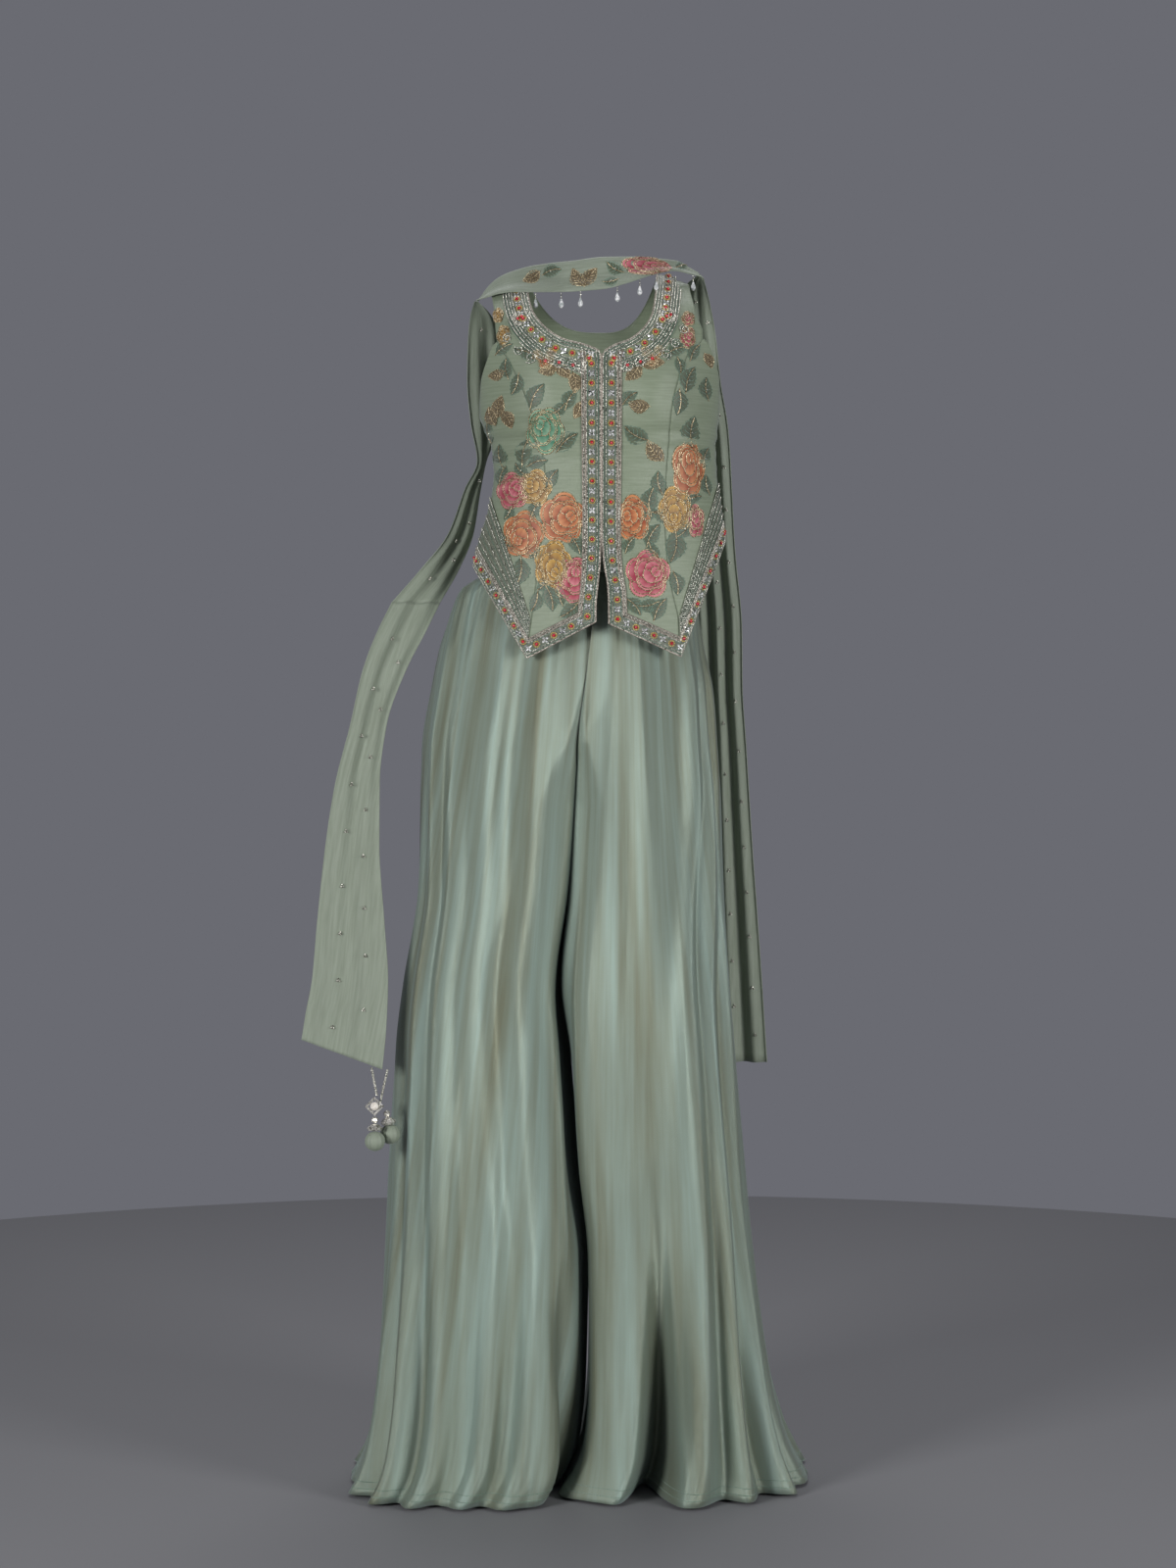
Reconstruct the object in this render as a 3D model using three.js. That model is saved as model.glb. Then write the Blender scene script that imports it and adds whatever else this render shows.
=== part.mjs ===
// A palazzo suit in its worn form, standing hollow: a sleeveless princess-seamed vest, very full
// palazzo trousers and a narrow stole with two tassel balls. Millimetres, +Z up, the front faces -Y,
// and +X is the wearer's left. The origin is the middle of the shoulder line that carries the suit.
import * as THREE from 'three';

// Driving sizes. Heights in every table are above the floor that the trouser hem reaches.
const SHOULDER_HEIGHT = 1456;
const SEAM_GAP = 0.3;
const VEST_CLOTH = 1.6;
const TROUSER_CLOTH = 1.2;
const STOLE_CLOTH = 1.1;
const BORDER_RAISE = 1.4;
const BORDER_WIDTH = 22;
const VEST_ROUNDNESS = 2.3;
const LEG_ROUNDNESS = 2.5;
const WAISTBAND = { low: 1108.3, high: 1140, cloth: 2, left: 112, right: 128, front: 90, back: 93.8 };
const WAISTBAND_SIDES = 28;
const FORK = { top: 1000, bottom: 835, corner: 42, hemCorner: 62, middleTop: 1060, middleLow: 560 };
const BACK_FLUTES = { count: 6, hemDepth: 13, topHeight: 1000 };
const TASSEL = { string: 35, beads: 6, frame: 11.5, frameBar: 2.6, frameThick: 3, pearl: 5.4, bead: 4.2,
  cap: 9.5, capTop: 4.3, capLow: 4, ball: 12 };
const DROP = { radius: 3.1, length: 11, loop: 13.2, loopRadius: 0.5 };

const RIGHT = -1;
const LEFT = 1;

// A short table with named columns, one row for each section, seam point or fold.
function table(columns, rows) {
  const names = columns.split(' ');
  return rows.map((row) => Object.fromEntries(names.map((name, i) => [name, row[i]])));
}

// A smooth curve through one column of a table, flat where the column turns back.
function smooth(rows, key, column) {
  const sorted = [...rows].sort((a, b) => a[key] - b[key]);
  const at = sorted.map((row) => row[key]);
  const value = sorted.map((row) => row[column]);
  const slope = at.slice(1).map((x, i) => (value[i + 1] - value[i]) / (x - at[i]));
  const tangent = value.map((v, i) => {
    if (i === 0) return slope[0];
    if (i === value.length - 1) return slope[i - 1];
    if (slope[i - 1] * slope[i] <= 0) return 0;
    return (2 * slope[i - 1] * slope[i]) / (slope[i - 1] + slope[i]);
  });
  return (x) => {
    if (x <= at[0]) return value[0];
    if (x >= at[at.length - 1]) return value[value.length - 1];
    const i = at.findIndex((edge) => edge > x) - 1;
    const span = at[i + 1] - at[i];
    const t = (x - at[i]) / span;
    const s = 1 - t;
    return value[i] * s * s * (1 + 2 * t) + value[i + 1] * t * t * (3 - 2 * t)
      + tangent[i] * span * t * s * s - tangent[i + 1] * span * t * t * s;
  };
}

const mix = (a, b, t) => a + (b - a) * t;
const ramp = (low, high, x) => THREE.MathUtils.smoothstep(x, low, high);
const bell = (x) => Math.exp(-x * x);
const power = (x, n) => Math.sign(x) * Math.abs(x) ** n;
const place = (x, y, height) => new THREE.Vector3(x, y, height - SHOULDER_HEIGHT);

// The normal of a surface given by two parameters, from small steps along each.
function surfaceNormal(surface, a, b, stepA, stepB) {
  const alongA = surface(a + stepA, b).sub(surface(a - stepA, b));
  const alongB = surface(a, b + stepB).sub(surface(a, b - stepB));
  return alongA.cross(alongB).normalize();
}

// Normals of a grid of points, for cloth whose surface is a ruled band and not a formula.
function gridNormals(points, sign) {
  const pick = (list, i) => list[THREE.MathUtils.clamp(i, 0, list.length - 1)];
  return points.map((row, r) => row.map((point, c) => {
    const alongRow = pick(row, c + 1).clone().sub(pick(row, c - 1));
    const alongColumn = pick(points, r + 1)[c].clone().sub(pick(points, r - 1)[c]);
    return alongRow.cross(alongColumn).normalize().multiplyScalar(sign);
  }));
}

// A closed wall of cloth over the chosen cells of a grid, between two offsets along its normals.
function wall(grid, inner, outer, wanted = () => true, wrap = false) {
  const rows = grid.points.length - 1;
  const columns = grid.points[0].length - (wrap ? 0 : 1);
  const positions = [];
  const index = [];
  const known = new Map();
  const vertex = (r, c, side) => {
    const column = c % grid.points[0].length;
    const key = `${r},${column},${side}`;
    if (!known.has(key)) {
      const offset = side ? outer : inner;
      const point = grid.points[r][column].clone().addScaledVector(grid.normals[r][column], offset);
      known.set(key, positions.length / 3);
      positions.push(point.x, point.y, point.z);
    }
    return known.get(key);
  };
  const has = (r, c) => {
    const column = wrap ? (c + columns) % columns : c;
    return r >= 0 && r < rows && column >= 0 && column < columns && wanted(r, column);
  };
  const quad = (a, b, c, d) => index.push(a, b, c, a, c, d);
  for (let r = 0; r < rows; r += 1) {
    for (let c = 0; c < columns; c += 1) {
      if (!has(r, c)) continue;
      const near = [vertex(r, c, 0), vertex(r, c + 1, 0), vertex(r + 1, c + 1, 0), vertex(r + 1, c, 0)];
      const far = [vertex(r, c, 1), vertex(r, c + 1, 1), vertex(r + 1, c + 1, 1), vertex(r + 1, c, 1)];
      quad(far[0], far[1], far[2], far[3]);
      index.push(near[0], near[2], near[1], near[0], near[3], near[2]);
      const open = [!has(r - 1, c), !has(r, c + 1), !has(r + 1, c), !has(r, c - 1)];
      open.forEach((edge, k) => {
        const next = (k + 1) % 4;
        if (edge) quad(near[k], near[next], far[next], far[k]);
      });
    }
  }
  return closedGeometry(positions, index);
}

function closedGeometry(positions, index) {
  let volume = 0;
  const corner = (i) => new THREE.Vector3().fromArray(positions, 3 * i);
  for (let i = 0; i < index.length; i += 3) {
    volume += corner(index[i]).dot(corner(index[i + 1]).cross(corner(index[i + 2])));
  }
  const faces = volume > 0 ? index : [...index].reverse();
  const geometry = new THREE.BufferGeometry();
  geometry.setAttribute('position', new THREE.Float32BufferAttribute(positions, 3));
  geometry.setIndex(faces);
  geometry.computeVertexNormals();
  return geometry;
}

const materials = {
  silk: new THREE.MeshStandardMaterial({ color: 0x93a596, roughness: 0.55, metalness: 0 }),
  zardozi: new THREE.MeshStandardMaterial({ color: 0x9c998f, roughness: 0.45, metalness: 0.4 }),
  organza: new THREE.MeshStandardMaterial({ color: 0x8c9c8b, roughness: 0.4, metalness: 0 }),
  georgette: new THREE.MeshStandardMaterial({ color: 0x93a394, roughness: 0.8, metalness: 0 }),
  crystal: new THREE.MeshStandardMaterial({ color: 0xd5dcd8, roughness: 0.1, metalness: 0 }),
  pearl: new THREE.MeshStandardMaterial({ color: 0xe6e2d8, roughness: 0.25, metalness: 0 }),
  silver: new THREE.MeshStandardMaterial({ color: 0xa7a6a0, roughness: 0.35, metalness: 1 }),
};

const suit = new THREE.Group();

function add(name, geometry, material) {
  const mesh = new THREE.Mesh(geometry, material);
  mesh.name = name;
  suit.add(mesh);
  return mesh;
}

// Vest. Its body section at each height: half widths on the wearer's right and left, and its depths.
const bodySections = table('height right left front back', [
  [1000, 168, 166, 127, 104],
  [1050, 163, 162, 121, 101],
  [1110, 156, 155, 114, 98],
  [1152, 148, 150, 107, 95],
  [1187, 137, 146, 104, 92],
  [1235, 131, 141, 103, 90],
  [1263, 134, 140, 107, 91],
  [1300, 148, 144, 113, 94],
  [1340, 152, 148, 112, 97],
  [1380, 160, 156, 103, 96],
  [1410, 170, 168, 87, 88],
  [1435, 174, 174, 62, 70],
  [1452, 175, 175, 36, 46],
  [1464, 175, 175, 14, 20],
  [1470, 175, 175, 0.2, 0.2],
]);
const BUST = { x: 74, height: 1318, wide: 42, tall: 44, depth: 13 };
const CREST = { centre: 1480, fall: 0.0016, reference: 1470, gap: 1.2 };
const bodyHalfWidth = { [RIGHT]: smooth(bodySections, 'height', 'right'),
  [LEFT]: smooth(bodySections, 'height', 'left') };
const bodyFront = smooth(bodySections, 'height', 'front');
const bodyBack = smooth(bodySections, 'height', 'back');
const crestHeight = (x) => CREST.centre - CREST.fall * x * x;

// A point of the vest: the turn is 0 at centre front, a quarter circle at the side seam, and a half
// circle at centre back. Near the shoulders the depth follows the sloping crest of the shoulder.
function vestPoint(side, turn, height) {
  const x = bodyHalfWidth[side](height) * power(Math.sin(turn), 2 / VEST_ROUNDNESS);
  const lifted = height + (CREST.reference - crestHeight(x)) * ramp(1330, 1440, height);
  const facing = power(Math.cos(turn), 2 / VEST_ROUNDNESS);
  const bust = BUST.depth * bell((Math.abs(x) - BUST.x) / BUST.wide)
    * bell((height - BUST.height) / BUST.tall) * ramp(0, 0.3, facing);
  const crestGap = CREST.gap * ramp(1430, 1465, lifted);
  const front = -bodyFront(lifted) * facing - bust - crestGap;
  const back = -bodyBack(lifted) * facing + crestGap;
  return place(side * x, facing >= 0 ? front : back, height);
}

function turnAt(side, x, height) {
  const share = Math.min(1, Math.abs(x) / bodyHalfWidth[side](height));
  return Math.asin(share ** (VEST_ROUNDNESS / 2));
}

// One grid of vest points from flat places (x, height); a back panel turns past the side seam.
function vestGrid(side, places, back = false) {
  const points = [];
  const normals = [];
  places.forEach((row) => {
    const rowPoints = [];
    const rowNormals = [];
    row.forEach(({ x, height, shift = 0 }) => {
      const half = back && x < 0 ? RIGHT : side;
      const own = turnAt(half, x, height);
      const turn = (back ? Math.PI - own : own) + shift;
      const surface = (a, b) => vestPoint(half, a, b);
      const normal = surfaceNormal(surface, turn, height, 0.02, 2).multiplyScalar(half);
      rowPoints.push(vestPoint(half, turn, height));
      rowNormals.push(normal);
    });
    points.push(rowPoints);
    normals.push(rowNormals);
  });
  return { points, normals };
}

const SIDE = 999;

// Seam points of each front half: the centre edge and neckline, the princess seam and armhole, and
// the side seam, where x is beyond the half width. Rows run from the hem to the shoulder.
const frontSeams = {
  [RIGHT]: table('centreX centreHeight princessX princessHeight sideX sideHeight', [
    [7, 1048, 88, 1005, SIDE, 1118],
    [7, 1068, 87, 1027, SIDE, 1154],
    [5, 1090, 84, 1050, SIDE, 1203],
    [2, 1122, 79, 1088, SIDE, 1212],
    [1, 1160, 74, 1130, SIDE, 1221],
    [1, 1200, 69, 1172, SIDE, 1231],
    [1, 1235, 67, 1212, SIDE, 1243],
    [1, 1270, 71, 1252, SIDE, 1258],
    [1, 1303, 82, 1292, SIDE, 1277],
    [1, 1335, 97, 1332, SIDE, 1300],
    [1, 1358, 112, 1362, 146, 1336],
    [2, 1368, 125, 1385, 131, 1380],
    [20, 1377, 127, 1398],
    [45, 1384, 128, 1410],
    [68, 1400, 129, 1422],
    [82, 1420, 131, 1434],
    [88, 1444, 133, 1445],
    [90, 1467, 134, 1451],
  ]),
  [LEFT]: table('centreX centreHeight princessX princessHeight sideX sideHeight', [
    [9, 1046, 94, 1007, SIDE, 1150],
    [9, 1066, 93, 1029, SIDE, 1184],
    [8, 1090, 92, 1052, SIDE, 1220],
    [3, 1122, 84, 1088, SIDE, 1227],
    [1, 1160, 78, 1132, SIDE, 1234],
    [1, 1200, 76, 1174, SIDE, 1242],
    [1, 1235, 77, 1214, SIDE, 1252],
    [1, 1270, 80, 1254, SIDE, 1264],
    [1, 1303, 83, 1294, SIDE, 1280],
    [1, 1335, 91, 1334, SIDE, 1300],
    [1, 1358, 103, 1366, 143, 1340],
    [3, 1368, 122, 1389, 129, 1384],
    [14, 1376, 122, 1398],
    [34, 1384, 118, 1409],
    [52, 1400, 114, 1422],
    [61, 1418, 111, 1437],
    [65, 1442, 108, 1451],
    [68, 1472, 107, 1461],
  ]),
};
const CENTRE_CELLS = 5;
const SIDE_STEPS = [0, 0.28, 0.52, 0.72, 0.87, 0.96, 1];
const UNDERARM_ROW = 9;
const SIDE_TOP_ROW = 11;

// Straight steps between two seam points, with the first step as wide as the sewn border.
function centrePlaces(side) {
  return frontSeams[side].map((row) => {
    const reach = Math.hypot(row.princessX - row.centreX, row.princessHeight - row.centreHeight);
    const first = Math.min(BORDER_WIDTH / reach, 0.5);
    const steps = [0];
    for (let i = 0; i < CENTRE_CELLS; i += 1) steps.push(mix(first, 1, i / (CENTRE_CELLS - 1)));
    return steps.map((t) => ({
      x: mix(row.centreX, row.princessX - SEAM_GAP / 2, t),
      height: mix(row.centreHeight, row.princessHeight, t),
    }));
  });
}

function sidePlaces(side) {
  return frontSeams[side].slice(0, SIDE_TOP_ROW + 1).map((row) => {
    const edge = row.sideX === SIDE ? bodyHalfWidth[side](row.sideHeight) : row.sideX;
    return SIDE_STEPS.map((t) => ({
      x: mix(row.princessX + SEAM_GAP / 2, edge, t),
      height: mix(row.princessHeight, row.sideHeight, t),
      shift: -t * SEAM_GAP / 2 / bodyHalfWidth[side](row.sideHeight),
    }));
  });
}

function makeFront(side, name) {
  const centre = vestGrid(side, centrePlaces(side));
  const flank = vestGrid(side, sidePlaces(side));
  const low = SEAM_GAP;
  const high = SEAM_GAP + BORDER_RAISE;
  add(`vest_centre_front_${name}`, wall(centre, -VEST_CLOTH, 0), materials.silk);
  add(`vest_side_front_${name}`, wall(flank, -VEST_CLOTH, 0), materials.silk);
  const isFrontBorder = (r, c) => r === 0 || (c === 0 && r < SIDE_TOP_ROW);
  const isNeckBorder = (r, c) => c === 0 && r > SIDE_TOP_ROW;
  const isSideBorder = (r) => r < 2;
  add(`vest_front_border_${name}`, wall(centre, low, high, isFrontBorder), materials.zardozi);
  add(`vest_neck_border_${name}`, wall(centre, low, high, isNeckBorder), materials.zardozi);
  add(`vest_side_border_${name}`, wall(flank, low, high, isSideBorder), materials.zardozi);
}

// The back is one plain panel between the side seams: its hem, its armholes and a scooped neck.
const BACK_NECK = { centre: 1412, shoulderX: { [RIGHT]: 90, [LEFT]: 68 } };
const BACK_HEM = 1112;
const BACK_COLUMNS = 16;
const backArmhole = {
  [RIGHT]: table('x height', [[144, 1328], [132, 1362], [126, 1392], [128, 1424], [134, 1451]]),
  [LEFT]: table('x height', [[140, 1330], [126, 1364], [114, 1394], [108, 1428], [107, 1461]]),
};

function backEdge(side) {
  const seam = frontSeams[side].slice(0, UNDERARM_ROW + 1).map((row) => ({
    x: bodyHalfWidth[side](row.sideHeight), height: row.sideHeight,
  }));
  return seam.concat(backArmhole[side]);
}

function backPlaces() {
  const right = backEdge(RIGHT);
  const left = backEdge(LEFT);
  const rows = right.length - 1;
  const columns = Array.from({ length: BACK_COLUMNS + 1 }, (_, i) => (2 * i) / BACK_COLUMNS - 1);
  const strap = 0.62;
  return right.map((_, r) => columns.map((u) => {
    const side = u < 0 ? RIGHT : LEFT;
    const edge = u < 0 ? right : left;
    const spread = Math.abs(u);
    const v = r / rows;
    const shoulder = BACK_NECK.shoulderX[side];
    const topX = spread < strap ? (shoulder * spread) / strap
      : mix(shoulder, edge[rows].x, (spread - strap) / (1 - strap));
    const scoop = mix(BACK_NECK.centre, crestHeight(shoulder), (spread / strap) ** 3);
    const topHeight = spread < strap ? scoop : crestHeight(topX);
    const bottomX = edge[0].x * spread;
    const bottomHeight = mix(BACK_HEM, edge[0].height, spread ** 2);
    const sideShare = spread ** 3;
    const rise = (edge[r].height - edge[0].height) / (edge[rows].height - edge[0].height);
    const level = mix(v, rise, sideShare);
    const bulge = edge[r].x - mix(edge[0].x, edge[rows].x, level);
    return {
      x: Math.sign(u) * (mix(bottomX, topX, level) + bulge * spread),
      height: mix(bottomHeight, topHeight, level),
      shift: spread === 1 ? SEAM_GAP / 2 / edge[r].x : 0,
    };
  }));
}

makeFront(RIGHT, 'right');
makeFront(LEFT, 'left');
add('vest_back', wall(vestGrid(LEFT, backPlaces(), true), -VEST_CLOTH, 0), materials.silk);

// Palazzo trousers. Each leg's section: how far out and in it reaches from the centre plane, and its
// depths. Above the fork both legs share one body; below it each leg closes round its own middle.
const legSections = {
  [RIGHT]: table('height outer inner front back', [
    [1108, 142, 3, 88, 93.4],
    [1099, 158, 4, 86, 94.4],
    [1090, 171, 5, 85, 96],
    [1068, 181, 8, 87, 102],
    [1044, 189, 11, 92, 110],
    [1020, 197, 14, 99, 115],
    [972, 207, 20, 109, 121],
    [900, 219, 31, 119, 121],
    [870, 220, 34, 122, 120],
    [845, 221, 36, 124, 119],
    [731, 223, 45, 130, 118],
    [611, 240, 58, 137, 122],
    [539, 250, 51, 142, 126],
    [395, 260, 38, 149, 132],
    [290, 265, 27, 153, 137],
    [127, 274, 30, 155, 146],
    [54, 285, 37, 156, 153],
    [24, 294, 46, 158, 158],
    [0, 307, 61, 160, 163],
  ]),
  [LEFT]: table('height outer inner front back', [
    [1108, 114, -3, 88, 93.4],
    [1099, 115, -4, 88, 94.4],
    [1090, 116, -5, 90, 96],
    [1068, 118, -8, 93, 102],
    [1044, 121, -11, 98, 110],
    [1020, 125, -14, 103, 115],
    [972, 134, -20, 111, 121],
    [900, 141, -30.9, 119, 121],
    [870, 144, -33.7, 122, 120],
    [845, 146, -35.2, 124, 119],
    [731, 150, -42, 129, 118],
    [611, 157, -53, 132, 122],
    [539, 163, -46, 133, 126],
    [395, 176, -32, 133, 132],
    [290, 186, -22, 130, 137],
    [127, 208, -24, 127, 146],
    [54, 226, -30, 125, 153],
    [24, 240, -40, 125, 158],
    [0, 254, -56, 127, 163],
  ]),
};

// Standing folds of the front panels, as places across the front from its inner corner (0) to the
// outseam (1): the place at the fold's top and at the hem, half its width, its depth at the top and
// at the hem (ridges stand out, valleys are negative), and the height where it starts.
const frontFolds = {
  [RIGHT]: table('topPlace hemPlace half topDepth hemDepth start', [
    [0.14, 0.13, 0.055, 5, 16, 1090],
    [0.22, 0.205, 0.040, -3, -9, 1000],
    [0.31, 0.275, 0.055, 5, 15, 1090],
    [0.42, 0.355, 0.040, -4, -9, 1000],
    [0.545, 0.435, 0.055, 6, 15, 1090],
    [0.63, 0.52, 0.045, -5, -12, 1000],
    [0.72, 0.60, 0.055, 6, 15, 1090],
    [0.80, 0.69, 0.045, -5, -12, 1000],
    [0.87, 0.78, 0.055, 6, 14, 1090],
    [0.93, 0.88, 0.045, -4, -10, 800],
    [0.17, 0.02, 0.060, 0, 12, 430],
    [0.14, -0.16, 0.070, 0, -40, 410],
  ]),
  [LEFT]: table('topPlace hemPlace half topDepth hemDepth start', [
    [0.02, 0.00, 0.060, 0, 9, 700],
    [0.16, 0.10, 0.055, 0, 8, 600],
    [0.26, 0.17, 0.050, 0, 22, 480],
    [0.30, 0.26, 0.048, 0, -80, 430],
    [0.60, 0.395, 0.060, 5, 40, 1090],
    [0.68, 0.47, 0.036, -5, -8, 1050],
    [0.78, 0.54, 0.045, 6, 24, 1090],
    [0.84, 0.63, 0.040, -5, -14, 1050],
    [0.90, 0.73, 0.045, 6, 16, 1090],
    [0.95, 0.84, 0.040, -4, -10, 900],
  ]),
};
const frontLeg = {
  columns: 30,
  innerColumns: 9,
  heights: [1108, 1099, 1088, 1066, 1030, 995, 965, 935, 905, 880, 858, 842, 828, 770, 690, 600, 500, 400,
    310, 230, 160, 100, 55, 24, 0],
};
const backLeg = {
  columns: 20,
  innerColumns: 6,
  heights: [1108, 1090, 1050, 995, 965, 935, 905, 880, 858, 842, 828, 740, 620, 480, 340, 210, 110, 50, 0],
};

const legShape = {};
[RIGHT, LEFT].forEach((side) => {
  const entries = ['outer', 'inner', 'front', 'back']
    .map((name) => [name, smooth(legSections[side], 'height', name)]);
  legShape[side] = Object.fromEntries(entries);
});

// One section of a leg from its inner edge to the outseam: a flat inner side that grows below the
// fork as the centre seam curves under, a rounded inner corner, a straight stretch and a round outside.
function legSection(side, isFront, height) {
  const shape = legShape[side];
  const seam = shape.inner(height);
  const outer = shape.outer(height);
  const depth = isFront ? shape.front(height) : shape.back(height);
  const down = THREE.MathUtils.clamp((FORK.top - height) / (FORK.top - FORK.bottom), 0, 1);
  const recess = depth * (1 - Math.sqrt(1 - down * down));
  const widest = mix(FORK.hemCorner, FORK.corner, ramp(0, 500, height));
  const corner = widest * (1 - Math.exp(-recess / widest));
  const middle = mix((seam + outer) / 2, seam, ramp(FORK.middleLow, FORK.middleTop, height));
  const straight = Math.max(middle - seam, corner);
  const reach = outer - seam - straight;
  const innerSide = recess - corner;
  const arc = (Math.PI / 2) * corner;
  const flat = straight - corner;
  const round = (reach + depth) * 0.8;
  const length = innerSide + arc + flat + round;
  const point = (along) => {
    if (along < innerSide) return [seam, depth - recess + along];
    if (along < innerSide + arc) {
      const turn = (along - innerSide) / corner;
      return [seam + corner * (1 - Math.cos(turn)), depth - corner * (1 - Math.sin(turn))];
    }
    if (along < innerSide + arc + flat) return [seam + corner + along - innerSide - arc, depth];
    const turn = (Math.PI / 2) * Math.min(1, (along - innerSide - arc - flat) / round);
    return [seam + straight + reach * Math.sin(turn) ** (2 / LEG_ROUNDNESS),
      depth * Math.cos(turn) ** (2 / LEG_ROUNDNESS)];
  };
  const cornerAt = innerSide + arc / 2;
  const inner = innerSide + arc + 0.06 * (flat + round);
  return { point, length, cornerAt, front: length - cornerAt, inner };
}

// How far the folds push a place out: the place is 0 at the inner corner and 1 at the outseam.
function foldDepth(side, isFront, across, height) {
  if (!isFront) {
    const grown = ramp(0, 1, 1 - height / BACK_FLUTES.topHeight) * ramp(-0.05, 0.15, across);
    return BACK_FLUTES.hemDepth * grown * Math.cos(2 * Math.PI * BACK_FLUTES.count * across);
  }
  return frontFolds[side].reduce((total, fold) => {
    if (height >= fold.start) return total;
    const down = 1 - height / fold.start;
    const middle = mix(fold.topPlace, fold.hemPlace, down);
    const depth = mix(fold.topDepth, fold.hemDepth, down ** 1.5) * ramp(0, 0.12, down);
    return total + depth * bell((across - middle) / fold.half);
  }, 0);
}

function legGrid(side, isFront) {
  const { heights, columns, innerColumns } = isFront ? frontLeg : backLeg;
  const handed = side * (isFront ? -1 : 1);
  const points = heights.map((height) => {
    const section = legSection(side, isFront, height);
    return Array.from({ length: columns + 1 }, (_, c) => {
      const along = c < innerColumns ? (section.inner * c) / innerColumns
        : mix(section.inner, section.length, (c - innerColumns) / (columns - innerColumns));
      const [x, depth] = section.point(along);
      const [aheadX, aheadDepth] = section.point(Math.min(along + 1, section.length));
      const [behindX, behindDepth] = section.point(Math.max(along - 1, 0));
      const tangent = new THREE.Vector2(aheadX - behindX, aheadDepth - behindDepth).normalize();
      const across = (along - section.cornerAt) / section.front;
      const fade = ramp(0, 24, along) * ramp(0, 30, section.length - along);
      const push = foldDepth(side, isFront, across, height) * fade;
      const out = depth + tangent.x * push + SEAM_GAP / 2;
      return place(side * (x - tangent.y * push + SEAM_GAP / 2), isFront ? -out : out, height);
    });
  });
  return { points, normals: gridNormals(points, handed) };
}

[RIGHT, LEFT].forEach((side) => {
  const name = side === RIGHT ? 'right' : 'left';
  add(`palazzo_front_${name}`, wall(legGrid(side, true), -TROUSER_CLOTH, 0), materials.organza);
  add(`palazzo_back_${name}`, wall(legGrid(side, false), -TROUSER_CLOTH, 0), materials.organza);
});

// The waistband is a plain ring under the vest, from the gathered top of the legs upward.
function waistbandGrid() {
  const around = WAISTBAND_SIDES;
  const heights = [WAISTBAND.low, WAISTBAND.high];
  const points = heights.map((height) => Array.from({ length: around }, (_, i) => {
    const turn = (2 * Math.PI * i) / around;
    const half = Math.cos(turn) > 0 ? WAISTBAND.left : WAISTBAND.right;
    const depth = Math.sin(turn) > 0 ? WAISTBAND.back : WAISTBAND.front;
    return place(half * power(Math.cos(turn), 0.85), depth * power(Math.sin(turn), 0.85), height);
  }));
  const normals = points.map((row) => row.map((point, i) => {
    const along = row[(i + 1) % around].clone().sub(row[(i + around - 1) % around]).normalize();
    return new THREE.Vector3(along.y, -along.x, 0);
  }));
  return { points, normals };
}

add('palazzo_waistband', wall(waistbandGrid(), -WAISTBAND.cloth, 0, undefined, true), materials.organza);

// Stole. Each stretch is a band of cloth between two edges, with soft pleats along its length.
function bandGrid(rows, across, pleats, sign) {
  const column = (name) => smooth(rows, 'at', name);
  const edges = ['ax', 'ay', 'ah', 'bx', 'by', 'bh'].map(column);
  const depthAt = column('pleat');
  const base = rows.map(({ at }) => {
    const [ax, ay, ah, bx, by, bh] = edges.map((curve) => curve(at));
    return Array.from({ length: across + 1 }, (_, c) => {
      const u = c / across;
      return place(mix(ax, bx, u), mix(ay, by, u), mix(ah, bh, u));
    });
  });
  const flat = gridNormals(base, sign);
  const points = base.map((row, r) => row.map((point, c) => {
    const u = c / across;
    const wave = Math.sin(Math.PI * u) ** 0.5 * Math.cos(2 * Math.PI * pleats * u);
    return point.clone().addScaledVector(flat[r][c], depthAt(rows[r].at) * wave);
  }));
  return { points, normals: gridNormals(points, sign) };
}

const neckStretch = table('at ax ay ah bx by bh pleat', [
  [0, -150, 34, 1446, -152, -8, 1441, 1],
  [1, -137, 26, 1463, -137, -18, 1444, 1.5],
  [2, -124, 14, 1472, -124, -24, 1447, 2],
  [3, -110, 4, 1477, -111, -31, 1448, 2],
  [4, -81, -26, 1481, -81, -50, 1446, 2],
  [5, -40, -58, 1482, -40, -80, 1443, 2],
  [6, 0, -66, 1486, 0, -88, 1445, 2],
  [7, 31, -62, 1487, 31, -82, 1453, 2],
  [8, 62, -34, 1489, 62, -56, 1466, 2],
  [9, 90, -2, 1490, 90, -21, 1475, 1.5],
  [10, 106, 12, 1484, 108, -8, 1473, 1],
  [11, 118, 18, 1478, 123, -2, 1470, 1],
]);
const rightFall = table('at ax ay ah bx by bh pleat', [
  [0, -153.6, -8, 1440, -151.6, 34, 1444.6, 1],
  [1, -160, 22, 1425, -136, 54, 1430, 2],
  [2, -164, 52, 1398, -124, 78, 1402, 3],
  [3, -166, 74, 1350, -118, 102, 1352, 4],
  [4, -162, 78, 1300, -124, 104, 1300, 4],
  [5, -153, 62, 1251, -142, 84, 1253, 3],
  [6, -168, 40, 1214, -149, 62, 1215, 3],
  [7, -187, 5, 1158, -157, 30, 1159, 3],
  [8, -218, -25, 1115, -173, 5, 1116, 3],
  [9, -253, -50, 1073, -196, -20, 1073, 3],
]);
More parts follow.
